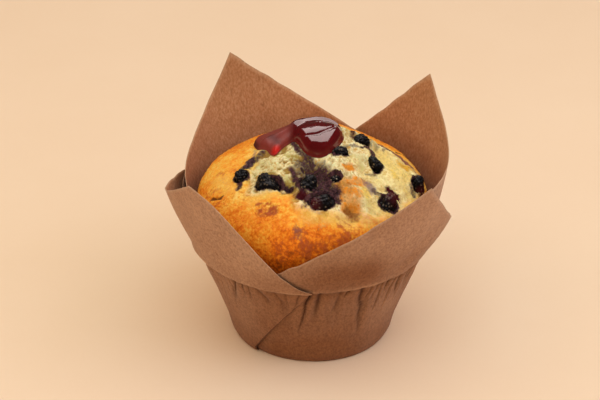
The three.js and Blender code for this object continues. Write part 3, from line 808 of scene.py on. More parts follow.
def crown_point(azimuth, polar):
    """A place on the crown and the way it swells. Polar 0 is straight up, 90 is level."""
    s = np.sin(np.radians(polar))
    c = np.maximum(np.cos(np.radians(polar)), 1e-9)
    reach = ((s / CROWN_RADIUS) ** CROWN_POWER + (c / CROWN_RISE) ** CROWN_POWER) ** (-1 / CROWN_POWER)
    point = around(azimuth, reach * s, CROWN_CENTRE + reach * c)
    normal = (point - (0, 0, CROWN_CENTRE)) / np.array([CROWN_RADIUS**2, CROWN_RADIUS**2, CROWN_RISE**2])
    normal /= np.linalg.norm(normal, axis=-1, keepdims=True)
    side = smooth(0.66, 0.98, reach * s / CROWN_RADIUS)
    side = np.broadcast_to(side, point.shape[:-1])[..., None]
    way = mix(np.array([0, 0, 1.0]), normal, side)
    way /= np.linalg.norm(way, axis=-1, keepdims=True)
    x, y = point[..., 0], point[..., 1]
    rise = relief(x, y)[..., None] * (1 - smooth(0.9, 1, side))
    point = point + way * rise / np.maximum(way[..., 2:], 0.5)
    point[..., 2] += peak(x, y) * (1 - side[..., 0])
    return point, way


print("crown top", round(float(crown_height(np.array(2.9), np.array(5.5))), 1), "mm")

# %% [markdown]
# ## The blueberries: where they sit
# The berries are placed before the crumb is made, because the crumb is pushed back and stained round each
# one. A berry's middle lies a little below the crown, so a good half of it stands out.

# %% Berry places: x, y, half sizes, depth below the crown and turn
BERRIES = [
    (-22.5, -10.3, (2.5, 2.5, 2.7), 0.6, 0),
    (-14, -16.2, (4.1, 3.2, 3.4), 0.8, -15),
    (-2, -17.6, (3, 2.8, 3), 0.9, 0),
    (2.6, -25, (4.3, 3.1, 3.5), 0.9, 8),
    (15.6, 4.9, (2.6, 2.3, 2.2), 0.5, 0),
    (20, -4.2, (2.1, 3.3, 2.4), 0.6, 20),
    (23.5, -20.2, (2.9, 3.4, 3.6), 0.9, -20),
    (34, -5.2, (2.2, 2.6, 3.6), 0.8, 0),
    (8.6, -6.2, (2.8, 2.2, 2.2), 0.9, 0),
    (6.8, -15.4, (2.3, 2, 2.2), 0.9, 0),
]


def berry_centre(x, y, depth):
    """A place under the crown, straight below it as the crown slopes there."""
    azimuth = math.degrees(math.atan2(y, x))
    polars = np.linspace(0, 90, 9001)
    ring, _ = crown_point(azimuth, polars)
    polar = polars[np.argmin(np.abs(np.hypot(ring[:, 0], ring[:, 1]) - math.hypot(x, y)))]
    step = 1.5
    azimuths = np.array([azimuth] * 3 + [azimuth + step, azimuth - step])
    near, _ = crown_point(azimuths, np.array([polar, max(polar - step, 0), polar + step, polar, polar]))
    normal = np.cross(near[3] - near[4], near[1] - near[2])
    return near[0] - depth * normal / np.linalg.norm(normal)


berry_centres = [berry_centre(x, y, depth) for x, y, _, depth, _ in BERRIES]


def spun(points, degrees):
    """Points turned round the upright axis."""
    c, s = math.cos(math.radians(degrees)), math.sin(math.radians(degrees))
    return points @ np.array([[c, -s, 0], [s, c, 0], [0, 0, 1]]).T


def into_berry(number, points, growth=0.0):
    """Points as seen from a berry: its skin lies at distance 1 from zero."""
    _, _, size, _, turn = BERRIES[number]
    return spun(points, -turn) / (np.array(size) + growth)


print("berry 1 sits at", np.round(berry_centres[0], 1))

# %% [markdown]
# ## The jam: its outline
# The jam's outline is drawn next, as seen from above, because the crumb lies smooth beneath it. A few
# points give the two pools with the notch and the drip between them, and cutting corners twice rounds them.

# %% Outline of the jam
JAM_MIDDLE_OF_POOLS = (-5.5, 6)
JAM_OUTLINE = [
    (-18.9, 7.9), (-17.7, 3.8), (-15.8, 1.9), (-14.2, -0.1), (-12.9, -0.7), (-11.9, -2.6), (-10.4, -0.5),
    (-8.9, 0.8), (-7.3, 1.3), (-6.1, 1.8), (-5, 0.3), (-3.1, -3.9), (-1.5, -5.7), (0.7, -6.8), (2.9, -7.3),
    (4.8, -6.8), (6.6, -5), (8.4, -2.3), (9.8, 0.8), (10.1, 3.5), (9.4, 6.8), (6.8, 9.6), (3, 11.1),
    (-1.5, 11), (-5, 11.3), (-9, 12.9), (-13.5, 13.2), (-17.6, 12.1), (-19.1, 10.4),
]


def cut_corners(points):
    """Twice as many points, a quarter and three quarters along each stretch of a closed outline."""
    following = np.roll(points, -1, 0)
    return np.stack([mix(points, following, 0.25), mix(points, following, 0.75)], 1).reshape(-1, 2)


jam_outline = cut_corners(cut_corners(np.array(JAM_OUTLINE)))


def inside_jam(x, y):
    """How far inside the jam's outline each place lies, in millimetres. Places outside are negative."""
    away = np.full(x.shape, 99.0)
    inside = np.zeros(x.shape, bool)
    for (ax, ay), (bx, by) in zip(jam_outline, np.roll(jam_outline, -1, 0)):
        away = np.minimum(away, near_line(x, y, (ax, ay), (bx, by))[0])
        beside = (ay > y) != (by > y)
        inside ^= beside & (x < ax + (bx - ax) * (y - ay) / (by - ay + 1e-12))
    return np.where(inside, away, -away)


print("the jam's outline has", len(jam_outline), "points")

# %% [markdown]
# ## The muffin: crumb and crust
# Close up, open crumb is a foam of torn bubbles, so its relief adds cell noise of three sizes to soft
# crags, with a few deep pores. Crust is the same foam sealed by a dry skin, so it keeps only faint dimples.

# %% A net of points over the crown, finest at the front
MUFFIN_COLUMNS = 620
CROWN_ROWS = 146
sweep = np.linspace(-1, 1, MUFFIN_COLUMNS, endpoint=False)[:, None]
azimuth = 270 + 180 * (0.65 * sweep + 0.35 * sweep**3)
t = 1 - np.arange(CROWN_ROWS)[None, :] / CROWN_ROWS
polar = 90 * mix(t, t**0.75, 0.5)
crown, way = crown_point(azimuth, polar)
X, Y, Z = crown[..., 0], crown[..., 1], crown[..., 2]
print("net of", MUFFIN_COLUMNS, "by", CROWN_ROWS)

# %% Where the open crumb shows
SPLIT_EDGE = [
    (-12, 6), (-18.6, -2.3), (-17.3, -4.4), (-19.8, -6.9), (-19.7, -13.3), (-20.8, -17), (-18, -19.2),
    (-12.5, -20.2), (-9.5, -19), (-7.1, -19.6), (-4.9, -26.3), (-2.5, -28.6), (2.1, -29.8), (6.7, -29.1),
    (10.4, -27.6), (14.4, -27), (19.1, -26.2), (23.9, -23.7), (27.2, -18.8), (30.9, -14.2), (34.4, -6),
    (33.5, 2), (29, 7.2), (20, 8), (12, 8.4), (3, 9),
]


def outline_reach(corners, middle, direction):
    """How far a closed outline lies from a place inside it, in each direction."""
    out = np.array(corners, float) - middle
    angle = np.arctan2(out[:, 1], out[:, 0])
    order = np.argsort(angle)
    return np.interp(direction, angle[order], np.hypot(out[:, 0], out[:, 1])[order], period=2 * math.pi)


across, along = X - SPLIT["x"], Y - SPLIT["y"]
edge_here = outline_reach(SPLIT_EDGE, (SPLIT["x"], SPLIT["y"]), np.arctan2(along, across))
beyond_edge = np.hypot(across, along) - edge_here + 1.5 * cloud(X / 3.2, Y / 3.2, 2)
soft_half = mix(1.6, 3.6, smooth(-18, -27, Y) * smooth(-14, 0, X))
open_crumb = smooth(soft_half, -soft_half, beyond_edge)
print("open crumb over", round(float(open_crumb.mean() * 100)), "% of the net")


# %% Foam, pores and dimples
def scaled(size, dx=0, dy=0, dz=0):
    """The net's places counted in steps of one size, and shifted so that no two patterns agree."""
    return X / size + dx, Y / size + dy, Z / size + dz


large_cell, _ = cells(*scaled(2.4))
middle_cell, _ = cells(*scaled(1.2, 3))
fine_cell, _ = cells(*scaled(0.65, 0, 5))
pore_cell, _ = cells(*scaled(3.6, 0, 7))
pores = smooth(0.3, 0.12, pore_cell)
foam = 1.15 * cloud(*scaled(3.4)) + 0.5 * (large_cell - 0.5)
foam += 0.45 * (middle_cell - 0.5)
foam += 0.3 * (fine_cell - 0.5)
foam += 0.45 * cloud(*scaled(0.8), 2)
dimples, _ = cells(*scaled(1.1, 0, 0, 4))
streaks = noise(X / 0.8 + Y / 2.2, Y / 4, 6) * smooth(-24, -30, Y) * smooth(-6, 3, X)
crust_relief = 0.28 * (dimples - 0.5) + 0.14 * (fine_cell - 0.5) + 0.18 * streaks
crust_relief += 0.22 * cloud(*scaled(3.3, 0, 0, 2))
fine_relief = mix(crust_relief, foam - 0.5 * pores, open_crumb)
print("foam from", round(float(foam.min()), 2), "to", round(float(foam.max()), 2), "mm")

# %% Touches to the form: a softer lip at the front, small mounds and cracks
reach = split_reach(X, Y)
front_lip = smooth(-8, -18, Y)
fine_relief += front_lip * (0.3 * (1 - smooth(0.9, 1.04, reach)) - 0.5 * bell(reach - 1.03, 0.07))
MOUNDS = [
    # both ends in plan, rise and width
    ((8.6, -9.6), (11.8, -8), 1.1, 2.2),
    ((-3.7, -22.2), (-0.6, -25.4), 0.8, 1.5),
    ((-8, -12), (-6.5, -9), 0.7, 2.2),
]
CRACKS = [
    # both ends in plan, depth and width
    ((-32.6, -12.2), (-28.6, -15.5), 1.0, 0.4),
    ((19.5, 9), (31.5, 7.2), 0.5, 0.5),
    ((-10.5, -18.2), (-6.5, -20), 0.9, 0.6),
    ((-3, -15.5), (-2.6, -21.5), 0.6, 0.8),
]
for start, end, rise, width in MOUNDS:
    fine_relief += rise * bell(near_line(X, Y, start, end)[0], width)
cracked = np.zeros_like(X)
for start, end, depth, width in CRACKS:
    away, t = near_line(X, Y, start, end)
    waver = 0.25 * noise(X / 1.1, Y / 1.1, 9)
    cracked += depth * bell(away + waver, width) * np.sin(math.pi * (0.1 + 0.8 * t))
fine_relief -= cracked
print("deepest crack", round(float(cracked.max()), 2), "mm")

# %% Smooth ground for the jam, and room for the berries
BERRY_ROOM = 0.12
under_jam = smooth(-1.2, 0.2, inside_jam(X, Y))
hugging = np.zeros_like(X)
closest = np.full_like(X, 9.0)
for number, centre in enumerate(berry_centres):
    away = np.linalg.norm(into_berry(number, crown - centre), axis=-1)
    closest = np.minimum(closest, away)
    hugging += 0.4 * bell(np.maximum(away - 1.12, 0), 0.3)
moved = mix(fine_relief + np.minimum(hugging, 0.6), -0.3, under_jam)
crown = crown + way * moved[..., None]
for number, centre in enumerate(berry_centres):
    seen = into_berry(number, crown - centre, BERRY_ROOM)
    dive = into_berry(number, -way, BERRY_ROOM)
    a = (dive**2).sum(-1)
    b = (seen * dive).sum(-1)
    c = (seen**2).sum(-1) - 1
    out = (-b + np.sqrt(np.maximum(b * b - a * c, 0))) / a
    crown = crown - np.where(c < 0, out, 0)[..., None] * way
print("room made for", len(berry_centres), "berries")

# %% [markdown]
# ## The muffin: colours
# Masks steer the colours: one number at every point for each kind of mark. Bake runs from pale gold to deep
# brown, painted shade darkens what lies low in the crumb and in its cracks and pores, and golden warms one
# side of it. The others are strokes, laid on as with a brush: berry juice, dark or maroon where it is fresh
# and lilac or mauve where it has faded, scorched toast and brown, the crumb's own orange, gold and yellow,
# and a greenish painted shade under the crumb's ridges.

# %% Strokes of colour: x and y of one end, x and y of the other, half the width and the strength
STROKES = {
    "juice": [
        (-3, -9, -2, -17, 2.6, 0.75), (2, -12, 5, -20, 2.6, 0.85), (-1, -20.5, 6, -22, 1.6, 0.95),
        (-1.6, -6.5, -1.4, -12, 1.8, 0.8), (-4.5, -18, -1, -21, 1.2, 0.9),
        (-16.1, 0.3, -18, -1.8, 0.93, 0.75), (-19.2, -2.4, -21.4, -6.3, 1.02, 0.95),
        (-22.5, -12.2, -23.2, -14.4, 0.7, 0.85), (-9.9, -15.6, -6.5, -18.4, 0.48, 1),
        (-11.5, -17.1, -9, -16.3, 0.56, 0.9), (-6.2, 0.8, -4.3, -4, 0.65, 0.85),
        (-4, -3.3, -1.5, -6.9, 1.3, 0.75), (-1.5, -6.3, -0.2, -9.1, 1.48, 0.8),
        (-4, -8.9, -6.5, -11.3, 0.93, 0.6), (-0.9, -9, -2.1, -11.5, 1.48, 0.75),
        (-6.5, -11.3, -4.9, -16.2, 0.93, 0.85), (-5.2, -15.7, -3.4, -20, 0.83, 0.8),
        (-3.1, -10.7, 0.7, -11.4, 0.93, 0.9), (1, -10.9, 1.6, -14.4, 0.74, 0.9),
        (1.9, -14.1, 2.8, -20, 1.11, 0.85), (4.1, -14.5, 4.7, -18.9, 1.11, 0.95),
        (5.6, -16.9, 7.1, -20.5, 0.93, 0.8), (0.3, -21.8, 7.1, -21.6, 1.11, 1),
        (5.4, -14.3, 7.8, -16.2, 0.74, 0.7), (10.2, -1.9, 14.4, 0.7, 0.33, 0.6),
        (14.8, 3.5, 18.4, 5.5, 0.74, 0.55), (15.7, 0.7, 18.4, 3.7, 0.33, 0.95),
        (18.3, 2.8, 19.2, -1.2, 0.65, 0.85), (18.8, 6.6, 20.7, 5.2, 0.65, 0.55),
        (22.6, 4.2, 24.7, 9.4, 0.33, 0.6), (9.5, -6.2, 10.2, -5.9, 0.41, 0.5),
        (16.8, -8.4, 19.9, -8.5, 0.26, 0.6), (18.7, -16.7, 20, -18, 0.41, 0.7),
        (20.6, -17.6, 22.8, -17.6, 0.74, 0.8), (31.1, -7.4, 32.1, -8.8, 0.56, 0.7),
        (31.9, -3.1, 33.7, -0.7, 0.65, 0.9), (6.2, -22.9, 7.7, -24.1, 0.74, 0.9),
    ],
    "maroon": [
        (-3.7, -22.2, -0.6, -25.4, 1.48, 1), (-3.1, -27.7, -0.3, -25.8, 0.56, 0.6),
        (23.9, -14.4, 26, -15.4, 1.21, 1), (26, -15.4, 26.6, -16.6, 0.56, 0.9),
        (13, 7.3, 12.9, 6, 0.83, 0.85), (34, -8, 34.7, -8.6, 0.65, 0.8),
        (19.4, -6.5, 19.3, -8.2, 0.48, 0.6), (7.8, -19.1, 7.8, -21.3, 0.74, 0.55),
    ],
    "lilac": [
        (-18.1, 4.2, -18.9, -2.9, 0.37, 0.6), (17.2, -14.7, 18.4, -16.8, 1.21, 0.75),
        (6, -15.1, 7.2, -16.4, 0.93, 0.55), (-1.8, -7.2, -0.5, -8.5, 0.74, 0.4),
        (5.3, -22.7, 7.7, -22.5, 0.3, 0.9), (-8.4, -16.8, -7.1, -18.3, 0.37, 0.7),
        (-2.2, -27.9, 2.7, -29.3, 0.33, 0.4), (16.4, -10.5, 20.5, -9.7, 0.74, 0.3),
        # The next stroke lays a pale grey-lilac veil over the left crust.
        (-29, -7, -27, -12, 1.6, 0.24),
    ],
    "mauve": [
        (16.5, 7, 22, 8.8, 0.8, 0.9), (22, 8.8, 27.5, 8, 1.0, 1), (27.5, 8, 31.6, 5.6, 0.9, 0.95),
        (31.6, 5.6, 33.6, 1, 0.4, 0.6), (-5, -33.2, -4.2, -34.4, 0.9, 0.6),
    ],
    "gold": [
        (28.3, 1.8, 30.7, 3.2, 1.0, 0.8), (29, 1.7, 30, 1.9, 0.6, 1), (24, 4, 29, 5, 0.7, 0.5),
    ],
    "brown": [
        (-32, -12.8, -29, -15.2, 0.14, 1), (-29.6, -14.6, -28.2, -14.9, 0.1, 0.9),
        (25.4, 8.8, 28.2, 7.1, 0.74, 0.75), (28.2, 6.5, 30.8, 7, 0.74, 0.7),
        (27.1, 11.1, 30.6, 13.9, 0.3, 0.95), (10.5, -26.3, 13.2, -27.2, 1.11, 0.75),
        (10, -17.7, 11.5, -17.6, 0.63, 0.5), (15.7, -13.2, 16.6, -14.9, 0.63, 0.5),
        (11.4, -24.7, 13.3, -25, 0.93, 0.35), (1.6, -15.1, 2.5, -19.1, 0.93, 0.4),
        (6.6, -13.6, 7.8, -15.1, 0.93, 0.5), (7.8, -17.8, 8.7, -21.7, 0.93, 0.6),
    ],
    "orange": [
        (9, -17.7, 16, -14.7, 1.3, 0.7), (8.8, -20.4, 13.6, -21.4, 1.4, 0.76),
        (9.3, -23.5, 13.2, -24, 1.5, 0.66), (10.2, -25.4, 13.2, -25.4, 1.4, 0.8),
        (10.1, -11.9, 12.3, -10.7, 0.48, 0.95), (7.2, -18, 8.7, -23.2, 1.11, 0.7),
    ],
    # Olive strokes are painted shade under the crumb's ridges.
    "olive_shade": [
        (-17, -5, -12, -11, 2.6, 0.42), (-9, -2, -6, -8, 1.6, 0.4), (14.9, -5.6, 15.5, -7, 0.8, 0.45),
        (11.7, -5.7, 15.9, -3.2, 0.74, 0.4), (-18.2, -4.2, -16, -8.1, 0.93, 0.45),
        (-8.1, -15, -7.1, -16.4, 1.11, 0.55), (-8.4, -5, -4.9, -5.9, 0.56, 0.6),
        (-6.5, -16.2, -4.6, -19.8, 0.74, 0.6), (17, -22.4, 17.6, -25.2, 1.11, 0.4),
        (26.5, -11.7, 28.7, -11.3, 0.6, 0.25), (-12.2, -5.5, -10.9, -4.3, 0.41, 0.5),
        (-9.3, -12.7, -8.1, -12.7, 0.56, 0.4), (-18.5, -7.9, -18.1, -10.8, 0.56, 0.4),
        (28.3, -13.5, 29.3, -13, 0.5, 0.35), (18.8, -5.3, 20.7, -5.4, 0.56, 0.7),
    ],
    "yellow": [
        (27, -8, 31, -12, 2, 0.5), (-19, -20.6, -9, -21.2, 1.5, 0.4), (-3, -30.6, 12, -29.6, 1.8, 0.45),
        (10.5, 9.8, 18.5, 10.8, 1.1, 0.65), (-30, -6, -26, -13, 2.4, 0.42), (21, 1, 30, -4, 3, 0.62),
        (13, -7, 19, -12, 2.4, 0.42), (18, -22, 26, -24, 2, 0.5), (25.1, -5.1, 26.3, -7.3, 0.83, 0.8),
        (16.5, -17.7, 16.5, -20.4, 1.11, 0.8), (18.2, -24.6, 19.8, -24.9, 0.74, 0.5),
        (10.5, -7.6, 12.3, -8.6, 0.93, 0.3), (22.7, -0.4, 27.7, -5.6, 1.3, 0.35),
        (31.7, 11.1, 32.3, 8.9, 0.74, 0.5),
    ],
    "toast": [
        (-32.5, -9.5, -28.5, -12.5, 1.2, 0.42), (-30, -17, -27, -19, 1.2, 0.55),
        (-29, -3, -24, -7, 1.5, 0.4), (-24, -17, -21, -19, 1.1, 0.36),
        (8.8, -17.2, 14.5, -16.2, 0.6, 0.55), (12.5, -22, 14.4, -23.5, 0.5, 0.45),
        (-15.7, -25.5, -12.3, -27.3, 1.11, 0.8), (-17, -23.3, -12.6, -25.9, 0.46, 0.7),
        (-21.6, -24.1, -20.4, -25.2, 0.56, 0.3), (-28.4, -17.2, -28.4, -17.9, 0.93, 0.5),
        (-4.9, -34.1, -4.6, -34.3, 0.93, 0.6), (-3.1, -32.9, -3.1, -33.6, 0.56, 0.5),
        (-3.1, -35.5, -1.3, -36.5, 1.11, 0.6), (8.6, -30.4, 11.6, -32.7, 1.48, 0.6),
        (5.2, -35.1, 9.8, -34.6, 0.93, 0.6), (0.9, -36.3, 5.8, -36.3, 0.93, 0.5),
        (-6.4, -35.1, -4, -36.2, 0.74, 0.35), (12.9, -30.9, 15, -31, 0.74, 0.35),
        (-15.1, -34, -12, -35.2, 0.93, 0.35), (-11.7, -35.3, -9.2, -36, 1.11, 0.45),
        (2.1, -31.4, 3.9, -32.3, 0.56, 0.2),
    ],
}
print(sum(len(marks) for marks in STROKES.values()), "strokes")


# %% Painting the strokes
def brushed(marks, soft):
    """A mask of strokes with ragged edges."""
    total = np.zeros_like(X)
    wobble = cloud(*scaled(1.5)) + 0.5 * noise(*scaled(0.6))
    for ax, ay, bx, by, half_width, strength in marks:
        away = near_line(X, Y, (ax, ay), (bx, by))[0] + (0.2 + 0.35 * min(half_width, 1.5)) * wobble
        total = np.maximum(total, strength * smooth(half_width * 2 + soft, half_width * 0.3, away))
    return total


SOFT_EDGES = {"juice": 0.6, "maroon": 0.4, "brown": 0.35, "lilac": 0.6, "mauve": 0.4}
crown_masks = {kind: brushed(marks, SOFT_EDGES.get(kind, 1.1)) for kind, marks in STROKES.items()}
round_berries = smooth(1.36, 1.05, closest + 0.14 * cloud(X / 1.2, Y / 1.2, 5))
crown_masks["juice"] = np.maximum(crown_masks["juice"], 0.9 * round_berries)
wavy = noise(X / 1.8 + 0.3 * Y, Y / 1.1, 6) + 0.6 * noise(X / 0.7, Y / 0.6, 8)
crown_masks["toast"] *= (1 - 0.5 * open_crumb) * (0.55 + 0.6 * smooth(-0.4, 0.5, wavy))
print("strokes of", ", ".join(crown_masks))

# %% Bake, painted shade in the hollows, and the golden side
crown_masks["open_crumb"] = open_crumb
crown_masks["golden"] = 0.4 * smooth(12, 24, X)
# Painted shade: the crumb darkens where it lies low and in cracks and pores, most on the left.
hollow_shade_scale = 1.6 - 1.35 * smooth(-6, 18, X)
crown_masks["hollow_shade"] = np.clip(hollow_shade_scale * smooth(0.35, -0.65, foam) + 0.8 * cracked + 0.5 * pores, 0, 1)
low = smooth(56, 43, crown[..., 2])
bake = 0.16 + 0.16 * smooth(-12, -33, Y) + 0.07 * low * smooth(-5, -34, Y) * smooth(16, -10, X)
bake += 0.26 * cloud(*scaled(6)) + 0.2 * cloud(*scaled(2)) + 0.22 * smooth(6, 16, Y)
bake += 0.12 * smooth(30, 36, np.hypot(X, Y)) * smooth(10, -10, Y) - 0.26 * bell(beyond_edge - 1, 4)
bake += 0.18 * bell(np.hypot(X + 1, Y + 34), 9)
crown_masks["bake"] = bake + 0.12 * wavy * smooth(-20, -30, Y)
print("masks:", ", ".join(crown_masks))

# %% [markdown]
# Below the crown the muffin is hidden by its paper, so its side and base are a plain smooth cup shape.

# %% Side and base rings
SIDE_INSET = 1.0
HIDDEN_BAKE = 0.8
side_rings = [(BASE_RADIUS - 3, 0.6), (BASE_RADIUS - 1.4, 1.0), (BASE_RADIUS - 0.6, 2.2)]
side_rings += [(float(cup_radius(z)), z) for z in (6, 12, 18, 24, 29, RIM_HEIGHT)]
side_rings += [(37.1, 36), (37.6, 39), (38, 42)]
side = [around(azimuth[:, 0], r - SIDE_INSET, z) for r, z in side_rings]
net = np.concatenate([np.stack(side, 1), crown], 1)


def extended(values, below=0.0):
    """A mask of the crown with one value for every hidden ring below it."""
    hidden = np.full((MUFFIN_COLUMNS, len(side_rings)), below)
    return np.concatenate([hidden, values], 1)


# %% Muffin finish
muffin_finish, tree, sockets = new_finish("baked_muffin", Specular_IOR_Level=0.05)
sockets["Subsurface Radius"].default_value = (1.0, 0.45, 0.2)
sockets["Subsurface Scale"].default_value = 1.2 * MM
sockets["Subsurface Weight"].default_value = 0.12
grain = placed(tree, grain_group, Slow_Size=5.0, Fine_Size=0.8, Fine_Share=0.5)
small = placed(tree, grain_group, Slow_Size=1.9, Fine_Size=0.8, Fine_Share=0.6, Seed=5.0)
specks = placed(tree, specks_group, Spacing=1.9, Size=0.22, Keep=0.3)

# %% Crust and crumb
baked = calculate(tree, "ADD", mask(tree, "bake"), remap(tree, grain["Grain"], 0, 1, -0.16, 0.16))
baked = calculate(tree, "ADD", baked, remap(tree, small["Grain"], 0.15, 0.85, -0.36, 0.36))
ramp = node(tree, "ValToRGB", Fac=remap(tree, baked, -0.25, 1))
BAKE_COLOURS = {
    0.0: (252, 199, 96), 0.2: (249, 174, 62), 0.4: (246, 150, 42),
    0.6: (236, 124, 28), 0.8: (214, 100, 20), 1.0: (166, 80, 20),
}
while len(ramp.color_ramp.elements) < len(BAKE_COLOURS):
    ramp.color_ramp.elements.new(0.5)
for element, (at, shade) in zip(ramp.color_ramp.elements, BAKE_COLOURS.items()):
    element.position = at
    element.color = paint(*shade)
mottling = remap(tree, small["Grain"], 0.25, 0.65)
crumb = blend_colour(tree, mottling, paint(202, 152, 76), paint(255, 238, 182))
# Painted shade in the crumb's hollows.
crumb = blend_colour(tree, mask(tree, "hollow_shade"), crumb, paint(164, 122, 58))
crumb = blend_colour(tree, mask(tree, "golden"), crumb, paint(255, 220, 134))
is_crumb = mask(tree, "open_crumb")
colour = blend_colour(tree, is_crumb, ramp.outputs[0], crumb)
print("bake in", len(BAKE_COLOURS), "shades")

# %% Strokes over them
MARK_COLOURS = {
    "yellow": (250, 204, 100),
    # The olive colour is painted shade in the crumb.
    "olive_shade": (188, 166, 80),
    "orange": (238, 144, 44),
    "brown": (140, 80, 32),
    "toast": (188, 88, 40),
    "lilac": (152, 120, 114),
    "gold": (240, 176, 62),
    "mauve": (148, 88, 68),
    "maroon": (74, 14, 20),
}


def grainy(amount, spread=0.32):
    """A soft mask whose edge breaks up into grains."""
    lifted = calculate(tree, "ADD", amount, remap(tree, small["Grain"], 0, 1, -spread, spread))
    return remap(tree, lifted, 0.28, 0.82)


for kind, shade in MARK_COLOURS.items():
    darker = tuple(0.84 * c for c in shade)
    mottled = blend_colour(tree, remap(tree, small["Grain"], 0.25, 0.75), paint(*darker), paint(*shade))
    colour = blend_colour(tree, grainy(mask(tree, kind)), colour, mottled)
juice = blend_colour(tree, remap(tree, small["Grain"], 0.3, 0.9), paint(26, 11, 16), paint(103, 62, 62))
colour = blend_colour(tree, grainy(mask(tree, "juice")), colour, juice)
print("strokes in", len(MARK_COLOURS) + 1, "colours")

# %% Dark specks, gloss and fine relief
speck_share = calculate(tree, "MULTIPLY", specks["Specks"], remap(tree, is_crumb, 0, 1, 0.1, 0.35))
colour = blend_colour(tree, speck_share, colour, paint(120, 84, 44))
tree.links.new(colour, sockets["Base Color"])
tree.links.new(remap(tree, is_crumb, 0, 1, 0.42, 0.85), sockets["Roughness"])
rough_height = calculate(tree, "MULTIPLY", small["Grain"], remap(tree, is_crumb, 0, 1, 0.6, 1))
add_bump(tree, sockets, rough_height, 0.32)

# %% Muffin
rings = net.shape[1]
summit, _ = crown_point(np.array([0.0]), np.array([0.0]))
points = np.concatenate([net.reshape(-1, 3), [[0, 0, 0.6]], summit])
faces = grid_faces(MUFFIN_COLUMNS, rings)
low_middle, top_middle = len(points) - 2, len(points) - 1
for i in range(MUFFIN_COLUMNS):
    following = (i + 1) % MUFFIN_COLUMNS
    faces.append((low_middle, following * rings, i * rings))
    faces.append((top_middle, i * rings + rings - 1, following * rings + rings - 1))
masks = {}
for kind, values in crown_masks.items():
    masks[kind] = np.append(extended(values, HIDDEN_BAKE if kind == "bake" else 0).ravel(), [0, 0])
muffin = make_piece("muffin_crown", points, faces, muffin_finish, masks)
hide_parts("muffin")
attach(muffin, "root")

# %% [markdown]
# ## The blueberries
# Baking bursts a berry and shrinks it, so its skin wrinkles like a raisin's. Each berry starts as a fine
# ball that is pushed in and out of shape; cell noise then cuts grooves between rounded lumps.

# %% Berry finish
berry_finish, tree, sockets = new_finish("berry_skin", Specular_IOR_Level=0.13)
grain = placed(tree, grain_group, Slow_Size=2.6, Fine_Size=0.4, Fine_Share=0.5)
crumbs = placed(tree, specks_group, Spacing=0.9, Size=0.42, Keep=0.4)
colour = blend_colour(tree, grain["Grain"], paint(6, 4, 6), paint(18, 14, 15))
colour = blend_colour(tree, mask(tree, "burst"), colour, paint(74, 16, 18))
crumb_share = calculate(tree, "MULTIPLY", crumbs["Specks"], mask(tree, "crumbed"))
colour = blend_colour(tree, crumb_share, colour, paint(150, 124, 96))
tree.links.new(colour, sockets["Base Color"])
tree.links.new(remap(tree, grain["Grain"], 0, 1, 0.22, 0.5), sockets["Roughness"])
add_bump(tree, sockets, grain["Grain"], 0.14)

# %% What makes each berry its own
PUSHES = {
    # pushes of a berry's skin: direction and distance in millimetres
    0: [((0, 0.5, 0.85), 0.6), ((0, -0.5, -0.85), 0.6)],
    1: [
        ((-0.5, 0.4, 0.75), 1.0), ((0.8, 0.3, 0.5), -1.0),
        ((-0.5, -0.6, -0.6), 0.5), ((0.7, -0.6, -0.3), 0.5),
    ],
    2: [((0.3, 0.5, 0.85), 1.3), ((0.4, -0.5, -0.7), 0.9)],
    3: [((0.3, -0.7, -0.6), 0.5), ((-0.6, 0.3, 0.7), -0.5)],
    4: [((0.9, 0, 0.2), 0.4), ((0, 0.4, 0.9), 0.5)],
    5: [((-0.4, 0.5, 0.75), 1.0), ((0.8, -0.4, -0.5), 0.6), ((0.7, 0.5, 0.5), -0.6)],
    6: [((0.15, 0.5, 0.85), 1.4), ((-0.8, 0.2, 0.5), -0.5)],
    7: [((0.3, -0.55, -0.8), 1.0), ((-0.6, 0.4, 0.7), -0.4)],
}
SHIFTS = {2: (0.6, -0.7, 0.2), 4: (0, 0.4, 0.5), 5: (0.2, 0.6, 0.8), 8: (0.3, 0.9, 0.9), 9: (0, 0.3, -1.1)}
BURST = {3: (-0.9, -0.3, 0.2), 6: (0.3, 0.6, 0.75), 7: (0.3, -0.6, -0.7)}
CRUMBED = {2: 0.6, 4: 0.15, 5: 1.0, 9: 1.0}
USUAL_CRUMBS = 0.3
print(len(PUSHES), "berries pushed out of shape,", len(BURST), "of them burst")


# %% Wrinkled berries
def wrinkled_ball(number):
    """A berry's points and faces, and its points while it was still a plain ball."""
    made = bmesh.new()
    bmesh.ops.create_icosphere(made, subdivisions=5, radius=1)
    ball = np.array([v.co[:] for v in made.verts])
    faces = [tuple(v.index for v in f.verts) for f in made.faces]
    made.free()
    x, y, size, _, turn = BERRIES[number]
    seed = number * 7.3
    lumps = 1 + 0.12 * noise(ball[:, 0] * 1.8 + x, ball[:, 1] * 1.8 + y, ball[:, 2] * 1.8)
    body = ball * (np.array(size) * lumps[:, None])
    for direction, distance in PUSHES.get(number, []):
        direction = np.array(direction) / np.linalg.norm(direction)
        body += direction * (distance * smooth(0.25, 1, ball @ direction))[:, None]
    first, second = cells(body[:, 0] / 1.3 + seed, body[:, 1] / 1.3, body[:, 2] / 1.3)
    groove = bell(second - first, 0.2)
    wrinkle = 0.22 * cloud(body[:, 0] / 0.9, body[:, 1] / 0.9 + seed, body[:, 2] / 0.9) - 0.28 * groove
    body += ball * wrinkle[:, None]
    return spun(body, turn) + berry_centres[number] + SHIFTS.get(number, (0, 0, 0)), faces, ball


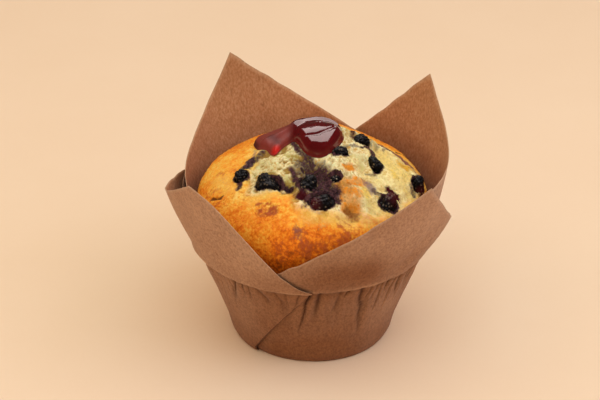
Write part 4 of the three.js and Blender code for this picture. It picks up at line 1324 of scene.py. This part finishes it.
for number in range(len(BERRIES)):
    points, faces, ball = wrinkled_ball(number)
    burst = np.zeros(len(ball))
    if number in BURST:
        burst = smooth(0.2, 0.95, ball @ np.array(BURST[number]))
    masks = {"burst": burst, "crumbed": np.full(len(ball), CRUMBED.get(number, USUAL_CRUMBS))}
    berry = make_piece(f"blueberry_skin_{number + 1}", points, faces, berry_finish, masks)
    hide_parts(f"blueberry_{number + 1}")
    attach(berry, "root")

# %% [markdown]
# ## The jam
# Warm jam slumps into rounded pools and sets with a shiny skin. Its shape is a thickness laid over the
# crown within its outline: a thin foot, a steep rounded shoulder, and a flat top, higher in the main pool.

# %% Thickness of the jam
LEFT_POOL = 2.3
MAIN_POOL = 3.2
FOOT = 0.4
SHOULDER = 2.6
JAM_GROOVES = [((-3, -1.2), (1.9, -1.4)), ((1.9, -1.4), (5.2, 0.4)), ((5.2, 0.4), (7.1, 2.4))]


def shoulder(distance, width):
    """A quarter of an ellipse: 0 at the edge, upright there, and 1 from the given width inwards."""
    return np.sqrt(1 - (1 - np.clip(distance / width, 0, 1)) ** 2)


def jam_thickness(x, y):
    """How thick the jam lies over each place, and how far inside its outline that place is."""
    inside = np.maximum(inside_jam(x, y), 0)
    main = smooth(-8, -3.5, x + 0.2 * (y - 2))
    full = mix(LEFT_POOL, MAIN_POOL, main)
    full -= 1.2 * smooth(0, 9, y) * smooth(-6, 0, x)
    width = SHOULDER + 3 * smooth(3, 8, y) * main
    thick = FOOT * shoulder(inside, 0.4) + (full - FOOT) * shoulder(inside - 0.3, width)
    groove = sum(bell(near_line(x, y, *ends)[0], 0.5) for ends in JAM_GROOVES)
    thick -= 0.4 * np.minimum(groove, 1) * smooth(0.5, 3, inside)
    thick += 0.18 * cloud(x / 3.5, y / 3.5, 1, 2) * smooth(0.3, 2, inside)
    thick += 0.35 * bell(np.hypot(x - 2.4, y - 5.2), 0.6)
    return np.maximum(thick, 0), inside


# %% Jam finish
jam_finish, tree, sockets = new_finish("set_jam", Specular_IOR_Level=0.14)
sockets["Coat Roughness"].default_value = 0.06
grain = placed(tree, grain_group, Slow_Size=4.0, Fine_Size=0.9, Fine_Share=0.4)
colour = blend_colour(tree, grain["Grain"], paint(70, 3, 6), paint(98, 6, 9))
# Thin jam is lighter; over the left pool the mauve is also a painted reflection of the white card.
colour = blend_colour(tree, mask(tree, "thin"), colour, paint(140, 52, 40))
colour = blend_colour(tree, mask(tree, "dark"), colour, paint(62, 4, 6))
colour = blend_colour(tree, mask(tree, "drip"), colour, paint(200, 28, 18))
tree.links.new(colour, sockets["Base Color"])
glaze = mask(tree, "glaze")
dull = remap(tree, glaze, 0, 1, 0.4, 0)
roughness = calculate(tree, "ADD", remap(tree, grain["Grain"], 0, 1, 0.08, 0.18), dull)
tree.links.new(roughness, sockets["Roughness"])
tree.links.new(remap(tree, glaze, 0, 1, 0.05, 0.95), sockets["Coat Weight"])
add_bump(tree, sockets, grain["Slow"], 0.08)

# %% A web of points over the jam
JAM_SPOKES = 300
JAM_RINGS = 70
middle_x, middle_y = JAM_MIDDLE_OF_POOLS
spoke = np.linspace(-math.pi, math.pi, JAM_SPOKES, endpoint=False)
reach = outline_reach(jam_outline, JAM_MIDDLE_OF_POOLS, spoke)[:, None]
share = (1 - np.arange(JAM_RINGS) / JAM_RINGS)[None, :] ** 0.7
x = np.append((middle_x + reach * share * np.cos(spoke)[:, None]).ravel(), middle_x)
y = np.append((middle_y + reach * share * np.sin(spoke)[:, None]).ravel(), middle_y)
thick, inside = jam_thickness(x, y)
ground = crown_height(x, y) - 0.1
print("jam up to", round(float(thick.max()), 1), "mm thick")

# %% Jam
shells = [np.stack([x, y, ground + thick], -1), np.stack([x, y, ground - 0.4 * shoulder(inside, 0.6)], -1)]
points = np.concatenate(shells)
half = len(x)
faces = grid_faces(JAM_SPOKES, JAM_RINGS)
faces += [f[::-1] for f in grid_faces(JAM_SPOKES, JAM_RINGS, half)]
for i in range(JAM_SPOKES):
    a, b = i * JAM_RINGS, (i + 1) % JAM_SPOKES * JAM_RINGS
    faces.append((b, a, half + a, half + b))
    a, b = a + JAM_RINGS - 1, b + JAM_RINGS - 1
    faces.append((a, b, half - 1))
    faces.append((half + b, half + a, 2 * half - 1))
# Thin: lighter jam near the edges, and a painted reflection over the whole left pool.
thin = np.maximum(0.25 * smooth(1, 0.1, inside), 0.8 * smooth(-5.5, -9, x))
drip = smooth(2.4, 0.6, np.hypot(x + 11.6, (y + 1.2) * 0.9)) * smooth(-0.1, 0.3, inside)
dark = 0.55 * bell(near_line(x, y, (-13.5, 4.6), (-11.2, 1.8))[0], 1.2) * smooth(0, 1, inside)
dark = np.maximum(dark, 0.8 * smooth(1.1, 0.4, inside) * smooth(2, 6, y))
masks = {"thin": thin, "dark": dark, "drip": drip, "glaze": smooth(-8, -5, x)}
masks = {kind: np.tile(values, 2) for kind, values in masks.items()}
jam = make_piece("jam_dollop", points, faces, jam_finish, masks)
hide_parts("jam")
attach(jam, "root")
